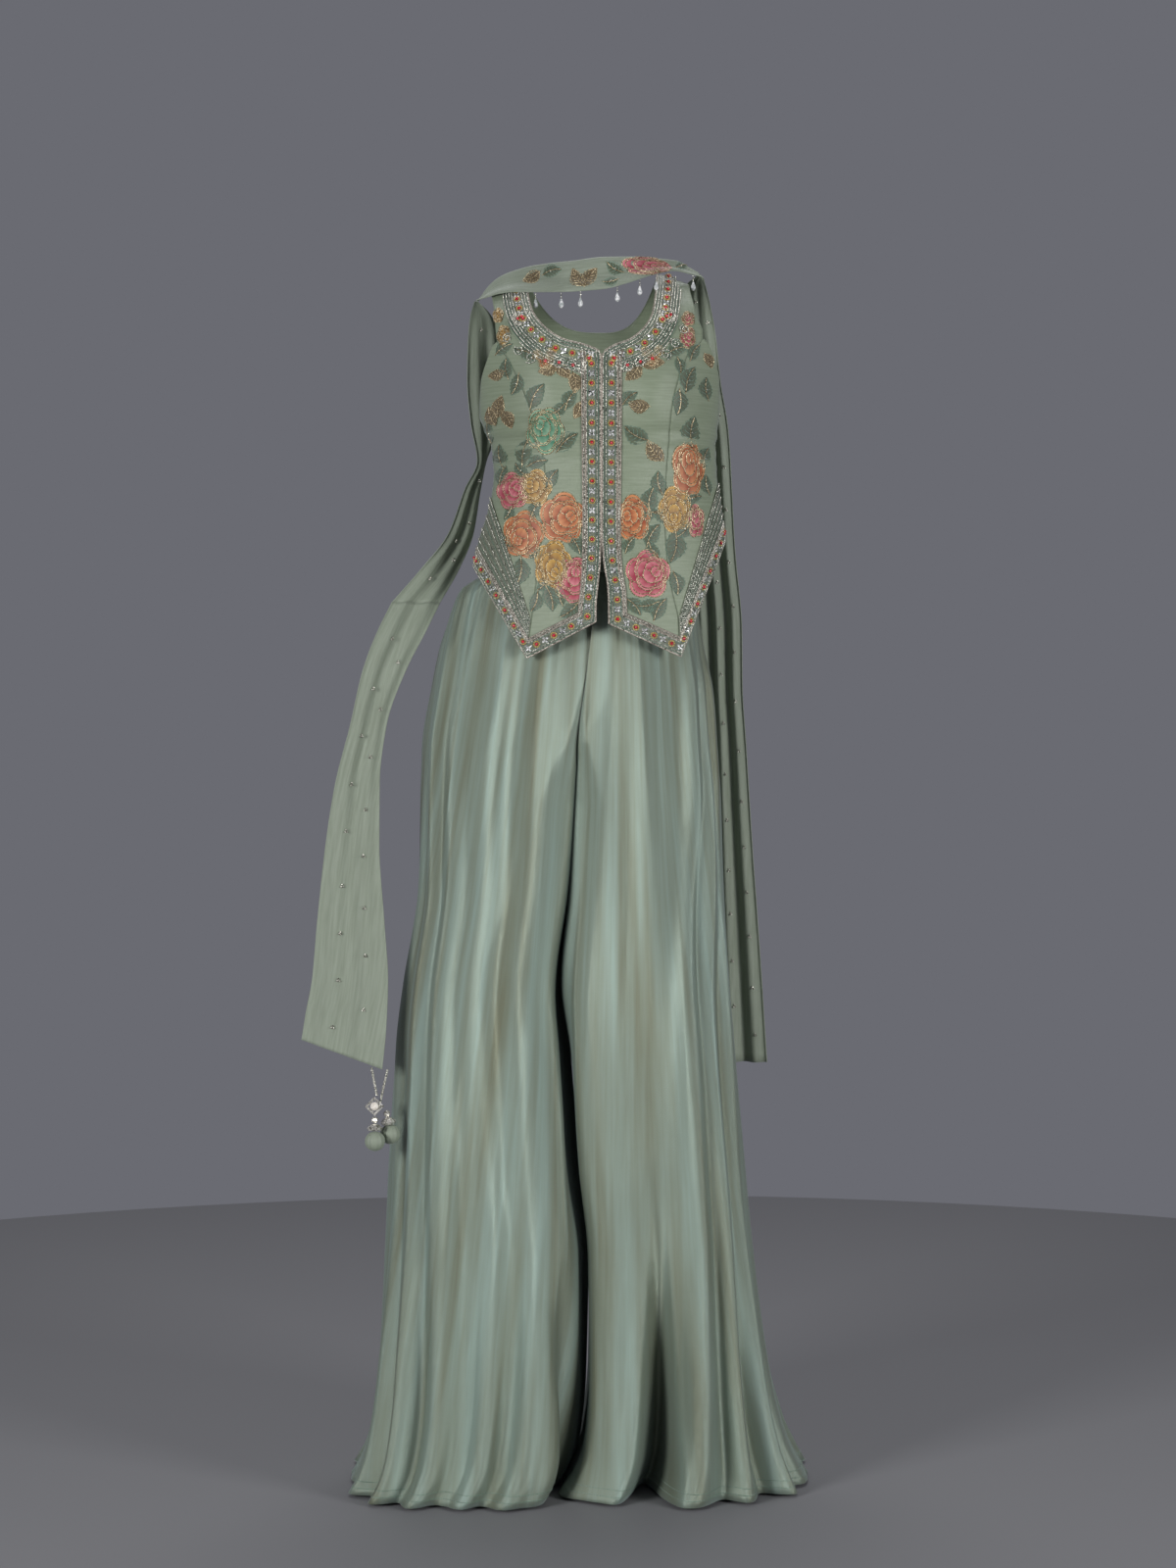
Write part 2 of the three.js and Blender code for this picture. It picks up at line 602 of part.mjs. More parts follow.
const rightTail = table('at ax ay ah bx by bh pleat', [
  [0, -253.3, -50.2, 1072.5, -196.3, -20.2, 1072.5, 3],
  [1, -270, -62, 1037, -213, -36, 1037, 3],
  [2, -287, -68, 991, -236, -48, 991, 3],
  [3, -302, -72, 925, -259, -58, 925, 3],
  [4, -320, -76, 854, -267, -66, 854, 3],
  [5, -331, -80, 784, -267, -76, 783, 3],
  [6, -341, -88, 690, -260, -94, 690, 3],
  [7, -347, -94, 620, -255, -106, 620, 3],
  [8, -354, -98, 582, -257, -114, 562, 3],
  [9, -359, -102, 549, -261, -124, 516, 3],
]);
const leftTail = table('at ax ay ah bx by bh pleat', [
  [0, 119.4, 19.5, 1477.2, 124.6, -1, 1469, 1],
  [1, 98, 56, 1456, 132, 42, 1452, 2],
  [2, 94, 92, 1416, 142, 80, 1412, 4],
  [3, 98, 112, 1350, 150, 100, 1350, 5],
  [4, 104, 120, 1291, 160, 110, 1291, 6],
  [5, 112, 126, 1144, 169, 118, 1144, 6],
  [6, 118, 138, 1046, 178, 124, 1046, 6],
  [7, 122, 144, 972, 179, 128, 972, 6],
  [8, 124, 146, 897, 184, 132, 897, 6],
  [9, 124, 148, 760, 193, 136, 760, 6],
  [10, 124, 152, 640, 202, 140, 640, 6],
  [11, 126, 156, 493, 212, 144, 493, 6],
]);

function addStole(name, rows, across, pleats, sign) {
  const grid = bandGrid(rows, across, pleats, sign);
  add(name, wall(grid, -STOLE_CLOTH / 2, STOLE_CLOTH / 2), materials.georgette);
}

addStole('stole_neck', neckStretch, 6, 1, 1);
addStole('stole_fall_right', rightFall, 8, 2, 1);
addStole('stole_tail_right', rightTail, 8, 2, 1);
addStole('stole_tail_left', leftTail, 10, 3, 1);

// Crystal drops on short loops along the lower edge of the neck stretch.
const dropPlaces = [-79, -48, -25, 19, 46, 66, 112];

// The straight line through one column of a table, between the rows on each side of x.
function straight(rows, key, column, x) {
  const next = rows.findIndex((row) => row[key] > x);
  const [a, b] = [rows[next - 1], rows[next]];
  return mix(a[column], b[column], (x - a[key]) / (b[key] - a[key]));
}

// A solid of revolution from radius and height pairs, from its lowest point to its highest.
function turned(profile, sides) {
  const geometry = new THREE.LatheGeometry(profile.map(([r, z]) => new THREE.Vector2(r, z)), sides);
  geometry.rotateX(Math.PI / 2);
  return geometry;
}

function ballOf(radius, around, rings) {
  const geometry = new THREE.SphereGeometry(radius, around, rings);
  geometry.rotateX(Math.PI / 2);
  return geometry;
}

dropPlaces.forEach((x, i) => {
  const { radius, length, loop, loopRadius } = DROP;
  const profile = [[0, -length / 2], [radius, -length / 6], [radius * 0.7, length / 5],
    [loopRadius, length / 3], [loopRadius, loop], [0, loop]];
  const drop = add(`stole_drop_${i + 1}`, turned(profile, 6), materials.crystal);
  const edgeHeight = straight(neckStretch, 'bx', 'bh', x);
  drop.position.copy(place(x, straight(neckStretch, 'bx', 'by', x), edgeHeight - 2 * SEAM_GAP - loop));
});

// Tassels: a string of beads from the tail's lower edge, a square metal frame with a pearl, a small
// bead, a metal cap and a cloth ball. The second hangs a little behind and beside the first, without
// a frame. Leans are how far the ball hangs to the wearer's left of its string's top, and forward.
const tassels = table('x leanLeft leanFront string frame', [
  [-271, 2, 14, 35, true],
  [-264, 12, -5, 50, false],
]);

function addTassel({ x, leanLeft, leanFront, string, frame }, number) {
  const lowerEdge = rightTail[rightTail.length - 1];
  const share = (x - lowerEdge.ax) / (lowerEdge.bx - lowerEdge.ax);
  const edgeY = mix(lowerEdge.ay, lowerEdge.by, share);
  const edgeHeight = mix(lowerEdge.ah, lowerEdge.bh, share);
  const tassel = new THREE.Group();
  tassel.position.copy(place(x, edgeY, edgeHeight - 2 * SEAM_GAP));
  suit.add(tassel);
  const hang = (name, geometry, material, height) => {
    const mesh = add(`tassel_${number}_${name}`, geometry, material);
    tassel.add(mesh);
    mesh.position.z = height;
  };

  const pitch = string / Math.round((string * TASSEL.beads) / TASSEL.string);
  const profile = [[0, 0]];
  for (let low = 0; low < string - pitch / 2; low += pitch) {
    const last = low + 1.5 * pitch > string;
    profile.push([pitch * 0.48, low + pitch / 2]);
    profile.push([last ? 0 : pitch * 0.2, low + pitch]);
  }
  hang('string', turned(profile, 6), materials.silver, -string);
  let hung = string + SEAM_GAP;

  if (frame) {
    const square = (half) => [[0, -half], [half, 0], [0, half], [-half, 0]]
      .map(([a, b]) => new THREE.Vector2(a, b));
    const outline = new THREE.Shape(square(TASSEL.frame));
    outline.holes.push(new THREE.Path(square(TASSEL.frame - TASSEL.frameBar * Math.SQRT2)));
    const bar = new THREE.ExtrudeGeometry(outline, { depth: TASSEL.frameThick, bevelEnabled: false });
    bar.rotateX(Math.PI / 2);
    bar.translate(0, TASSEL.frameThick / 2, 0);
    hung += TASSEL.frame;
    hang('frame', bar, materials.silver, -hung);
    hang('pearl', ballOf(TASSEL.pearl, 10, 6), materials.pearl, -hung);
    hung += TASSEL.frame + SEAM_GAP;
  }
  hung += TASSEL.bead;
  hang('bead', ballOf(TASSEL.bead, 8, 5), materials.silver, -hung);
  hung += TASSEL.bead + SEAM_GAP + TASSEL.capTop;
  const { cap, capTop, capLow } = TASSEL;
  const capProfile = [[0, -capLow], [cap * 0.8, -capLow], [cap, -capLow / 4], [cap * 0.7, capTop / 2],
    [cap * 0.3, capTop], [0, capTop]];
  hang('cap', turned(capProfile, 12), materials.silver, -hung);
  hung += capLow + SEAM_GAP + TASSEL.ball;
  hang('ball', ballOf(TASSEL.ball, 14, 9), materials.georgette, -hung);
  tassel.rotation.set(-Math.asin(leanFront / hung), -Math.asin(leanLeft / hung), 0);
}

tassels.forEach((row, i) => addTassel(row, i + 1));

export default suit;
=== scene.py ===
"""A palazzo suit in its worn form: an embroidered princess-seamed vest, very full palazzo trousers of
shot organza and a narrow georgette stole with crystal drops and two tassel balls. Metres, +Z up, the
front faces -Y and +X is the wearer's left. Tables hold millimetres, with heights above the hem."""
import math

import bpy
import numpy as np
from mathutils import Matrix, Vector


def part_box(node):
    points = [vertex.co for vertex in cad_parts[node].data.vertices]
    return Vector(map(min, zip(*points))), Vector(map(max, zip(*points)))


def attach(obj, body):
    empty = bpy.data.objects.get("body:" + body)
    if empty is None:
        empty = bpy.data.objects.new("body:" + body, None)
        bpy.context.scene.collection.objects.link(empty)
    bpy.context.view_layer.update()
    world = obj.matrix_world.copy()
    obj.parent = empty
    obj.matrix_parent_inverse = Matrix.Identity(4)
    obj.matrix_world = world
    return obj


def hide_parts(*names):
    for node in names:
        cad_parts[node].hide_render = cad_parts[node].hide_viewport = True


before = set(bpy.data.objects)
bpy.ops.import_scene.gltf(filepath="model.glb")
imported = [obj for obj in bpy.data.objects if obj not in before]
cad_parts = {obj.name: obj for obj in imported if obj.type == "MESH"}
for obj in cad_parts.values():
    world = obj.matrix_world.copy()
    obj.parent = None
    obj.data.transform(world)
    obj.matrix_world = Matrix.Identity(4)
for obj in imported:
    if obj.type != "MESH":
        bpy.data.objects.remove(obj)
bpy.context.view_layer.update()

# Camera: a short telephoto at hip height, four metres in front, looking down by under two degrees.
MM = 0.001
# The part's origin is on the shoulder line, this many millimetres above the hem.
SHOULDER_HEIGHT = 1456.0
CAMERA = dict(x=-0.016, distance=4.0, height=984.0, tilt=1.89, sensor=36.0, lens=75.0)
scene = bpy.context.scene
camera_data = bpy.data.cameras.new("camera")
camera_data.sensor_fit = "VERTICAL"
camera_data.sensor_height = CAMERA["sensor"]
camera_data.lens = CAMERA["lens"]
camera = bpy.data.objects.new("camera", camera_data)
camera.location = (CAMERA["x"], -CAMERA["distance"], (CAMERA["height"] - SHOULDER_HEIGHT) * MM)
camera.rotation_euler = (math.radians(90.0 - CAMERA["tilt"]), 0.0, 0.0)
scene.collection.objects.link(camera)
scene.camera = camera


# Studio: a plain grey painted floor, a grey surround and three soft boxes, two in front and one above.
def linear(hex_code):
    """The linear colour of an sRGB hex value."""
    shares = [int(hex_code[i:i + 2], 16) / 255 for i in (1, 3, 5)]
    bright = [c / 12.92 if c <= 0.04045 else ((c + 0.055) / 1.055) ** 2.4 for c in shares]
    return (*bright, 1.0)


def add_node(material, kind, links=(), **settings):
    """Adds one node: settings name its properties or its sockets, links give its input sockets."""
    node = material.node_tree.nodes.new(kind)
    for name, value in settings.items():
        if name[0].isupper():
            node.inputs[name.replace("_", " ")].default_value = value
        else:
            setattr(node, name, value)
    for name, source in dict(links).items():
        material.node_tree.links.new(source, node.inputs[name])
    return node


def new_material(name):
    """A material with an empty tree and one surface shader, which the caller sets and links."""
    material = bpy.data.materials.new(name)
    material.use_nodes = True
    material.node_tree.nodes.clear()
    shader = add_node(material, "ShaderNodeBsdfPrincipled")
    add_node(material, "ShaderNodeOutputMaterial", {"Surface": shader.outputs["BSDF"]})
    return material, shader


def set_sockets(shader, **values):
    """Sets the shader's own sockets: underscores stand for the spaces in their names."""
    for name, value in values.items():
        shader.inputs[name.replace("_", " ")].default_value = value


FLOOR_RADIUS = 2.2
HEM_CLEARANCE = 0.004
bpy.ops.mesh.primitive_circle_add(vertices=128, radius=FLOOR_RADIUS, fill_type="NGON",
                                  location=(0, 0, -SHOULDER_HEIGHT * MM - HEM_CLEARANCE))
floor = bpy.context.object
floor.name = "studio_floor"
floor_paint, shader = new_material("matt_floor_paint")
set_sockets(shader, Base_Color=linear("#7d7d80"), Roughness=0.6, Specular_IOR_Level=0.3)
floor.data.materials.append(floor_paint)

world = bpy.data.worlds.new("studio")
scene.world = world
world.use_nodes = True
world.node_tree.nodes["Background"].inputs["Color"].default_value = linear("#6a6b72")
world.node_tree.nodes["Background"].inputs["Strength"].default_value = 1.0
scene.view_settings.view_transform = "Standard"


def lamp(name, place, aim, size, power):
    """A square soft box at a place, turned to aim at a point."""
    data = bpy.data.lights.new(name, "AREA")
    data.size = size
    data.energy = power
    light = bpy.data.objects.new(name, data)
    light.location = place
    way = np.array(aim) - np.array(place)
    level = math.hypot(way[0], way[1])
    light.rotation_euler = (math.atan2(level, -way[2]), 0.0, math.atan2(way[1], way[0]) - math.pi / 2)
    scene.collection.objects.link(light)


lamp("key_lamp", place=(-2.7, -3.2, 0.0), aim=(0, 0, -0.8), size=1.2, power=122)
lamp("fill_lamp", place=(2.9, -2.6, -0.3), aim=(0, 0, -0.85), size=1.2, power=92)
lamp("top_lamp", place=(0.0, 1.2, 2.0), aim=(0, 0, -0.4), size=1.6, power=35)

# Vest panels: silk satin, cut in two centre fronts, two side fronts and a back, joined in princess
# seams over the bust. The sage cloth has a soft lustre and fine slubs that run across.
VEST_ROUNDNESS = 2.3
VEST_CLOTH = 0.9
SEAM_GAP = 0.3


def table(columns, *rows):
    """A table with named columns, one row for each section, seam point or fold."""
    return {name: np.array([row[i] for row in rows], float) for i, name in enumerate(columns.split())}


def smooth(at, value):
    """A smooth curve through a table's column, flat where the column turns back."""
    order = np.argsort(at)
    at, value = at[order], value[order]
    slope = np.diff(value) / np.diff(at)
    product = slope[:-1] * slope[1:]
    total = np.where(np.abs(slope[:-1] + slope[1:]) < 1e-9, 1.0, slope[:-1] + slope[1:])
    inside = np.where(product > 0, 2 * product / total, 0.0)
    tangent = np.concatenate([slope[:1], inside, slope[-1:]])

    def curve(x):
        x = np.clip(x, at[0], at[-1])
        i = np.clip(np.searchsorted(at, x, "right") - 1, 0, len(at) - 2)
        span = at[i + 1] - at[i]
        t = (x - at[i]) / span
        s = 1 - t
        level = value[i] * s * s * (1 + 2 * t) + value[i + 1] * t * t * (3 - 2 * t)
        return level + tangent[i] * span * t * s * s - tangent[i + 1] * span * t * t * s

    return curve


def mix(a, b, t):
    """The value a share t of the way from a to b."""
    return a + (b - a) * t


def ramp(low, high, x):
    """A soft step from 0 at low to 1 at high."""
    t = np.clip((x - low) / (high - low), 0, 1)
    return t * t * (3 - 2 * t)


def bell(x):
    """A rounded bump, 1 at its middle."""
    return np.exp(-x * x)


def power(x, exponent):
    """A power that keeps the sign, for rounded-square outlines."""
    return np.sign(x) * np.abs(x) ** exponent


def place(x, y, height):
    """Points in metres in the part's frame from millimetres, with the height above the hem."""
    x, y, height = np.broadcast_arrays(x, y, height)
    return np.stack([x, y, height - SHOULDER_HEIGHT], -1) * MM


body_sections = table(
    "height right left front back",
    (1000, 168, 166, 127, 104), (1050, 163, 162, 121, 101), (1110, 156, 155, 114, 98),
    (1152, 148, 150, 107, 95), (1187, 137, 146, 104, 92), (1235, 131, 141, 103, 90),
    (1263, 134, 140, 107, 91), (1300, 148, 144, 113, 94), (1340, 152, 148, 112, 97),
    (1380, 160, 156, 103, 96), (1410, 170, 168, 87, 88), (1435, 174, 174, 62, 70),
    (1452, 175, 175, 36, 46), (1464, 175, 175, 14, 20), (1470, 175, 175, 0.2, 0.2))
body_curve = {name: smooth(body_sections["height"], body_sections[name])
              for name in ("right", "left", "front", "back")}
BUST = dict(x=74, height=1318, wide=42, tall=44, depth=13)
CREST = dict(centre=1480, fall=0.0016, reference=1470, gap=1.2)


def crest_height(x):
    """The height of the shoulder line above a place across the body."""
    return CREST["centre"] - CREST["fall"] * x * x


def half_width(side, height):
    """How far the vest reaches from the middle to its right or left side."""
    return np.where(side > 0, body_curve["left"](height), body_curve["right"](height))


def vest_point(side, turn, height):
    """A point of the vest: turn 0 is centre front, a quarter circle the side seam, a half the back."""
    x = half_width(side, height) * power(np.sin(turn), 2 / VEST_ROUNDNESS)
    lifted = height + (CREST["reference"] - crest_height(x)) * ramp(1330, 1440, height)
    facing = power(np.cos(turn), 2 / VEST_ROUNDNESS)
    bust = BUST["depth"] * bell((np.abs(x) - BUST["x"]) / BUST["wide"])
    bust = bust * bell((height - BUST["height"]) / BUST["tall"]) * ramp(0, 0.3, facing)
    gap = CREST["gap"] * ramp(1430, 1465, lifted)
    front = -body_curve["front"](lifted) * facing - bust - gap
    back = -body_curve["back"](lifted) * facing + gap
    return place(side * x, np.where(facing >= 0, front, back), height)


def unit(vectors):
    """The same directions, one long."""
    length = np.linalg.norm(vectors, axis=-1, keepdims=True)
    return vectors / np.where(length < 1e-12, 1.0, length)


# Small steps round and up the body, in radians and millimetres, that give the slope of the cloth.
SLOPE_TURN = 0.02
SLOPE_HEIGHT = 2.0


def vest_skin(x, height, back=False, shift=0.0):
    """Points on the vest and their outward normals, from flat places on its front or its back."""
    x, height, shift = np.broadcast_arrays(np.asarray(x, float), np.asarray(height, float), shift)
    side = np.where(x < 0, -1.0, 1.0)
    share = np.clip(np.abs(x) / half_width(side, height), 0, 1)
    turn = np.arcsin(share ** (VEST_ROUNDNESS / 2))
    turn = (math.pi - turn if back else turn) + shift
    around = vest_point(side, turn + SLOPE_TURN, height) - vest_point(side, turn - SLOPE_TURN, height)
    upward = vest_point(side, turn, height + SLOPE_HEIGHT) - vest_point(side, turn, height - SLOPE_HEIGHT)
    normal = unit(np.cross(around, upward)) * side[..., None]
    return vest_point(side, turn, height), normal


# Seam lines of both fronts, from the hem to the strap; SIDE stands for the side seam's own place.
SIDE = 999
front_seams = {
    -1: table(
        "centre_x centre_height princess_x princess_height side_x side_height",
        (7, 1048, 88, 1005, SIDE, 1118), (7, 1068, 87, 1027, SIDE, 1154), (5, 1090, 84, 1050, SIDE, 1203),
        (2, 1122, 79, 1088, SIDE, 1212), (1, 1160, 74, 1130, SIDE, 1221), (1, 1200, 69, 1172, SIDE, 1231),
        (1, 1235, 67, 1212, SIDE, 1243), (1, 1270, 71, 1252, SIDE, 1258), (1, 1303, 82, 1292, SIDE, 1277),
        (1, 1335, 97, 1332, SIDE, 1300), (1, 1358, 112, 1362, 146, 1336), (2, 1368, 125, 1385, 131, 1380),
        (20, 1377, 127, 1398, 0, 0), (45, 1384, 128, 1410, 0, 0), (68, 1400, 129, 1422, 0, 0),
        (82, 1420, 131, 1434, 0, 0), (88, 1444, 133, 1445, 0, 0), (90, 1467, 134, 1451, 0, 0)),
    1: table(
        "centre_x centre_height princess_x princess_height side_x side_height",
        (9, 1046, 94, 1007, SIDE, 1150), (9, 1066, 93, 1029, SIDE, 1184), (8, 1090, 92, 1052, SIDE, 1220),
        (3, 1122, 84, 1088, SIDE, 1227), (1, 1160, 78, 1132, SIDE, 1234), (1, 1200, 76, 1174, SIDE, 1242),
        (1, 1235, 77, 1214, SIDE, 1252), (1, 1270, 80, 1254, SIDE, 1264), (1, 1303, 83, 1294, SIDE, 1280),
        (1, 1335, 91, 1334, SIDE, 1300), (1, 1358, 103, 1366, 143, 1340), (3, 1368, 122, 1389, 129, 1384),
        (14, 1376, 122, 1398, 0, 0), (34, 1384, 118, 1409, 0, 0), (52, 1400, 114, 1422, 0, 0),
        (61, 1418, 111, 1437, 0, 0), (65, 1442, 108, 1451, 0, 0), (68, 1472, 107, 1461, 0, 0)),
}
SIDE_ROWS = 12
UNDERARM_ROW = 9
side_name = {-1: "right", 1: "left"}


def seam(side, name):
    """A smooth seam line of one front: its flat x and height by row number."""
    rows = front_seams[side]
    count = SIDE_ROWS if name == "side" else len(rows["centre_x"])
    x, height = rows[f"{name}_x"][:count], rows[f"{name}_height"][:count]
    x = np.where(x == SIDE, half_width(side, height), x)
    numbers = np.arange(count, dtype=float)
    return smooth(numbers, x), smooth(numbers, height)


def between(side, first, second, row, share):
    """Flat places between two seams of one front, by row number and share of the way across."""
    (ax, ah), (bx, bh) = seam(side, first), seam(side, second)
    far = bx(row)
    if second == "side":
        far = np.where(row <= UNDERARM_ROW, half_width(side, bh(row)), far)
    return side * mix(ax(row), far, share), mix(ah(row), bh(row), share)


def show(name, points, faces, material, coordinates=None, tint=None, flat=False):
    """Makes one mesh piece that rides on the suit, with its flat places in metres as coordinates; flat
    says for the whole mesh or for each face whether it is shaded flat."""
    mesh = bpy.data.meshes.new(name)
    mesh.from_pydata(np.asarray(points).reshape(-1, 3).tolist(), [], [list(map(int, f)) for f in faces])
    corners = np.zeros(len(mesh.loops), np.int64)
    mesh.loops.foreach_get("vertex_index", corners)
    if coordinates is not None:
        layer = mesh.uv_layers.new(name="flat_places")
        layer.data.foreach_set("uv", np.asarray(coordinates, np.float32).reshape(-1, 2)[corners].ravel())
    if tint is not None:
        colours = mesh.color_attributes.new("thread_colour", "FLOAT_COLOR", "POINT")
        colours.data.foreach_set("color", np.asarray(tint, np.float32).reshape(-1, 4).ravel())
    mesh.polygons.foreach_set("use_smooth", np.broadcast_to(np.logical_not(flat), len(faces)).tolist())
    mesh.materials.append(material)
    mesh.update()
    piece = bpy.data.objects.new(name, mesh)
    scene.collection.objects.link(piece)
    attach(piece, "root")
    return piece


def grid_normals(points, outward):
    """Normals of a grid of points; outward is 1 or -1 and turns them to the outer face."""
    along = np.gradient(points, axis=1)
    down = np.gradient(points, axis=0)
    return unit(np.cross(along, down)) * outward


def cloth(name, points, normals, thickness, material, coordinates, wrap=False):
    """A closed sheet of cloth from a grid of points on its outer face."""
    rows, columns = points.shape[:2]
    inner = points - normals * thickness * MM
    number = np.arange(rows * columns).reshape(rows, columns)
    if wrap:
        number = np.concatenate([number, number[:, :1]], 1)
    a, b = number[:-1, :-1].ravel(), number[:-1, 1:].ravel()
    c, d = number[1:, 1:].ravel(), number[1:, :-1].ravel()
    size = rows * columns
    faces = [np.stack([a, b, c, d], 1), np.stack([d, c, b, a], 1) + size]
    edges = [number[0], number[-1][::-1]]
    if not wrap:
        edges += [number[:, -1], number[:, 0][::-1]]
    for edge in edges:
        faces.append(np.stack([edge[1:], edge[:-1], edge[:-1] + size, edge[1:] + size], 1))
    faces = np.concatenate(faces)
    middle = points[rows // 2, columns // 2]
    ahead = points[rows // 2, columns // 2 + 1] - middle
    down = points[rows // 2 + 1, columns // 2] - middle
    if np.dot(np.cross(ahead, down), normals[rows // 2, columns // 2]) < 0:
        faces = faces[:, ::-1]
    both = np.concatenate([points.reshape(-1, 3), inner.reshape(-1, 3)])
    on_rim = np.arange(len(faces)) >= 2 * len(a)
    return show(name, both, faces, material, np.concatenate([coordinates.reshape(-1, 2)] * 2),
                flat=on_rim)


def woven(name, dark, light, streak, thread, roughness, sheen, sheen_colour, bump=0.25, metallic=0.0):
    """Woven cloth: streaks of two colours along the threads and a fine weave in relief. The streaks are
    thread shades; on the organza they are partly painted sheen. streak is the width and length of one
    streak in millimetres, thread the thread spacing."""
    material, shader = new_material(name)
    places = add_node(material, "ShaderNodeUVMap", uv_map="flat_places").outputs["UV"]
    scale = (1 / (streak[0] * MM), 1 / (streak[1] * MM), 1)
    stretched = add_node(material, "ShaderNodeVectorMath", {0: places}, operation="MULTIPLY")
    stretched.inputs[1].default_value = scale
    shade = add_node(material, "ShaderNodeTexNoise", {"Vector": stretched.outputs[0]},
                     Scale=1.0, Detail=5.0, Roughness=0.6)
    spread = add_node(material, "ShaderNodeMapRange", {0: shade.outputs[0]}, From_Min=0.36, From_Max=0.64)
    colour = add_node(material, "ShaderNodeMix", {0: spread.outputs[0]}, data_type="RGBA")
    colour.inputs[6].default_value = linear(dark)
    colour.inputs[7].default_value = linear(light)
    weave = add_node(material, "ShaderNodeVectorMath", {0: places}, operation="SCALE")
    weave.inputs["Scale"].default_value = 2 * math.pi / (thread * MM)
    crossed = add_node(material, "ShaderNodeVectorMath", {0: weave.outputs[0]}, operation="SINE")
    parts = add_node(material, "ShaderNodeSeparateXYZ", {0: crossed.outputs[0]})
    over = add_node(material, "ShaderNodeMath", {0: parts.outputs[0], 1: parts.outputs[1]},
                    operation="MULTIPLY")
    slub = add_node(material, "ShaderNodeMath", {0: over.outputs[0], 1: shade.outputs[0]},
                    operation="ADD")
    relief = add_node(material, "ShaderNodeBump", {"Height": slub.outputs[0]}, Strength=bump,
                      Distance=0.00025)
    material.node_tree.links.new(colour.outputs[2], shader.inputs["Base Color"])
    material.node_tree.links.new(relief.outputs[0], shader.inputs["Normal"])
    set_sockets(shader, Roughness=roughness, Sheen_Weight=sheen, Sheen_Roughness=0.35,
                Sheen_Tint=linear(sheen_colour), Specular_IOR_Level=0.5, Metallic=metallic)
    return material


# Silk satin, IOR about 1.5: a broad soft highlight and faint slubs across. The weave is drawn at
# 0.8 mm, coarser than the real 0.1 mm, so that it shows.
silk_satin = woven("sage_silk_satin", "#78836d", "#848f7a", streak=(34, 2.2), thread=0.8,
                   roughness=0.4, sheen=0.3, sheen_colour="#c9d3d0")

CENTRE_ROWS = 17.0
PANEL_GRID = (110, 36)
SIDE_SEAM_TURN = 0.0015
WRINKLES = dict(height=1262, tall=30, clear=20, full=45)


def vest_wrinkles(x, height):
    """Shallow drag lines across the waist, between the embroidered flowers and the bust."""
    zone = bell((height - WRINKLES["height"]) / WRINKLES["tall"])
    zone = zone * ramp(WRINKLES["clear"], WRINKLES["full"], np.abs(x))
    waves = np.sin(height / 3.1 + 0.03 * np.abs(x) + 1.3 * np.sin(x / 21))
    return zone * (0.8 * waves + 0.45 * np.sin(height / 5.3 - 0.05 * x))


for side, name in side_name.items():
    for panel, seams, last in (("centre", ("centre", "princess"), CENTRE_ROWS),
                               ("side", ("princess", "side"), SIDE_ROWS - 1.0)):
        rows = np.linspace(0, last, PANEL_GRID[0])[:, None]
        share = np.linspace(0, 1, PANEL_GRID[1])[None, :]
        x, height = between(side, *seams, rows, share)
        towards = np.maximum if panel == "side" else np.minimum
        gap = towards(0, 1 - 2 * share) * SEAM_GAP / 2
        side_gap = -SIDE_SEAM_TURN * share ** 8 if panel == "side" else 0.0
        point, normal = vest_skin(x + side * gap, height, shift=side_gap)
        point = point + normal * vest_wrinkles(x, height)[..., None] * MM
        flat_places = np.stack([x * MM + 0 * height, height * MM], -1)
        piece = cloth(f"vest_silk_{panel}_front_{name}", point, normal, VEST_CLOTH, silk_satin,
                      flat_places)
        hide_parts(f"vest_{panel}_front_{name}")


# Beads, stones and cords: the small parts of all the hand embroidery. Beads and foiled glass stones are
# sewn down one by one, cords are couched with small stitches; each kind is joined into one mesh.
NEIGHBOUR = 1.2


def bead_form():
    """The corners and faces of a twenty-sided bead of radius 1: its sides are shorter than NEIGHBOUR."""
    golden = (1 + math.sqrt(5)) / 2
    corners = [(0, a, b * golden) for a in (-1, 1) for b in (-1, 1)]
    corners += [(a, b * golden, 0) for a in (-1, 1) for b in (-1, 1)]
    corners += [(b * golden, 0, a) for a in (-1, 1) for b in (-1, 1)]
    corners = unit(np.array(corners, float))
    faces = []
    for i in range(12):
        for j in range(i + 1, 12):
            for k in range(j + 1, 12):
                sides = [np.linalg.norm(corners[a] - corners[b]) for a, b in ((i, j), (j, k), (i, k))]
                if max(sides) < NEIGHBOUR:
                    out = np.dot(np.cross(corners[j] - corners[i], corners[k] - corners[i]), corners[i])
                    faces.append((i, j, k) if out > 0 else (i, k, j))
    return corners, np.array(faces)


BEAD_CORNERS, BEAD_FACES = bead_form()


def beads(name, centres, radius, material):
    """One mesh of round beads; radius is one number or one for each bead, in millimetres."""
    centres = np.asarray(centres).reshape(-1, 3)
    radius = np.broadcast_to(np.asarray(radius, float), len(centres))
    points = centres[:, None] + BEAD_CORNERS[None] * radius[:, None, None] * MM
    faces = BEAD_FACES[None] + 12 * np.arange(len(centres))[:, None, None]
    return show(name, points, faces.reshape(-1, 3), material)


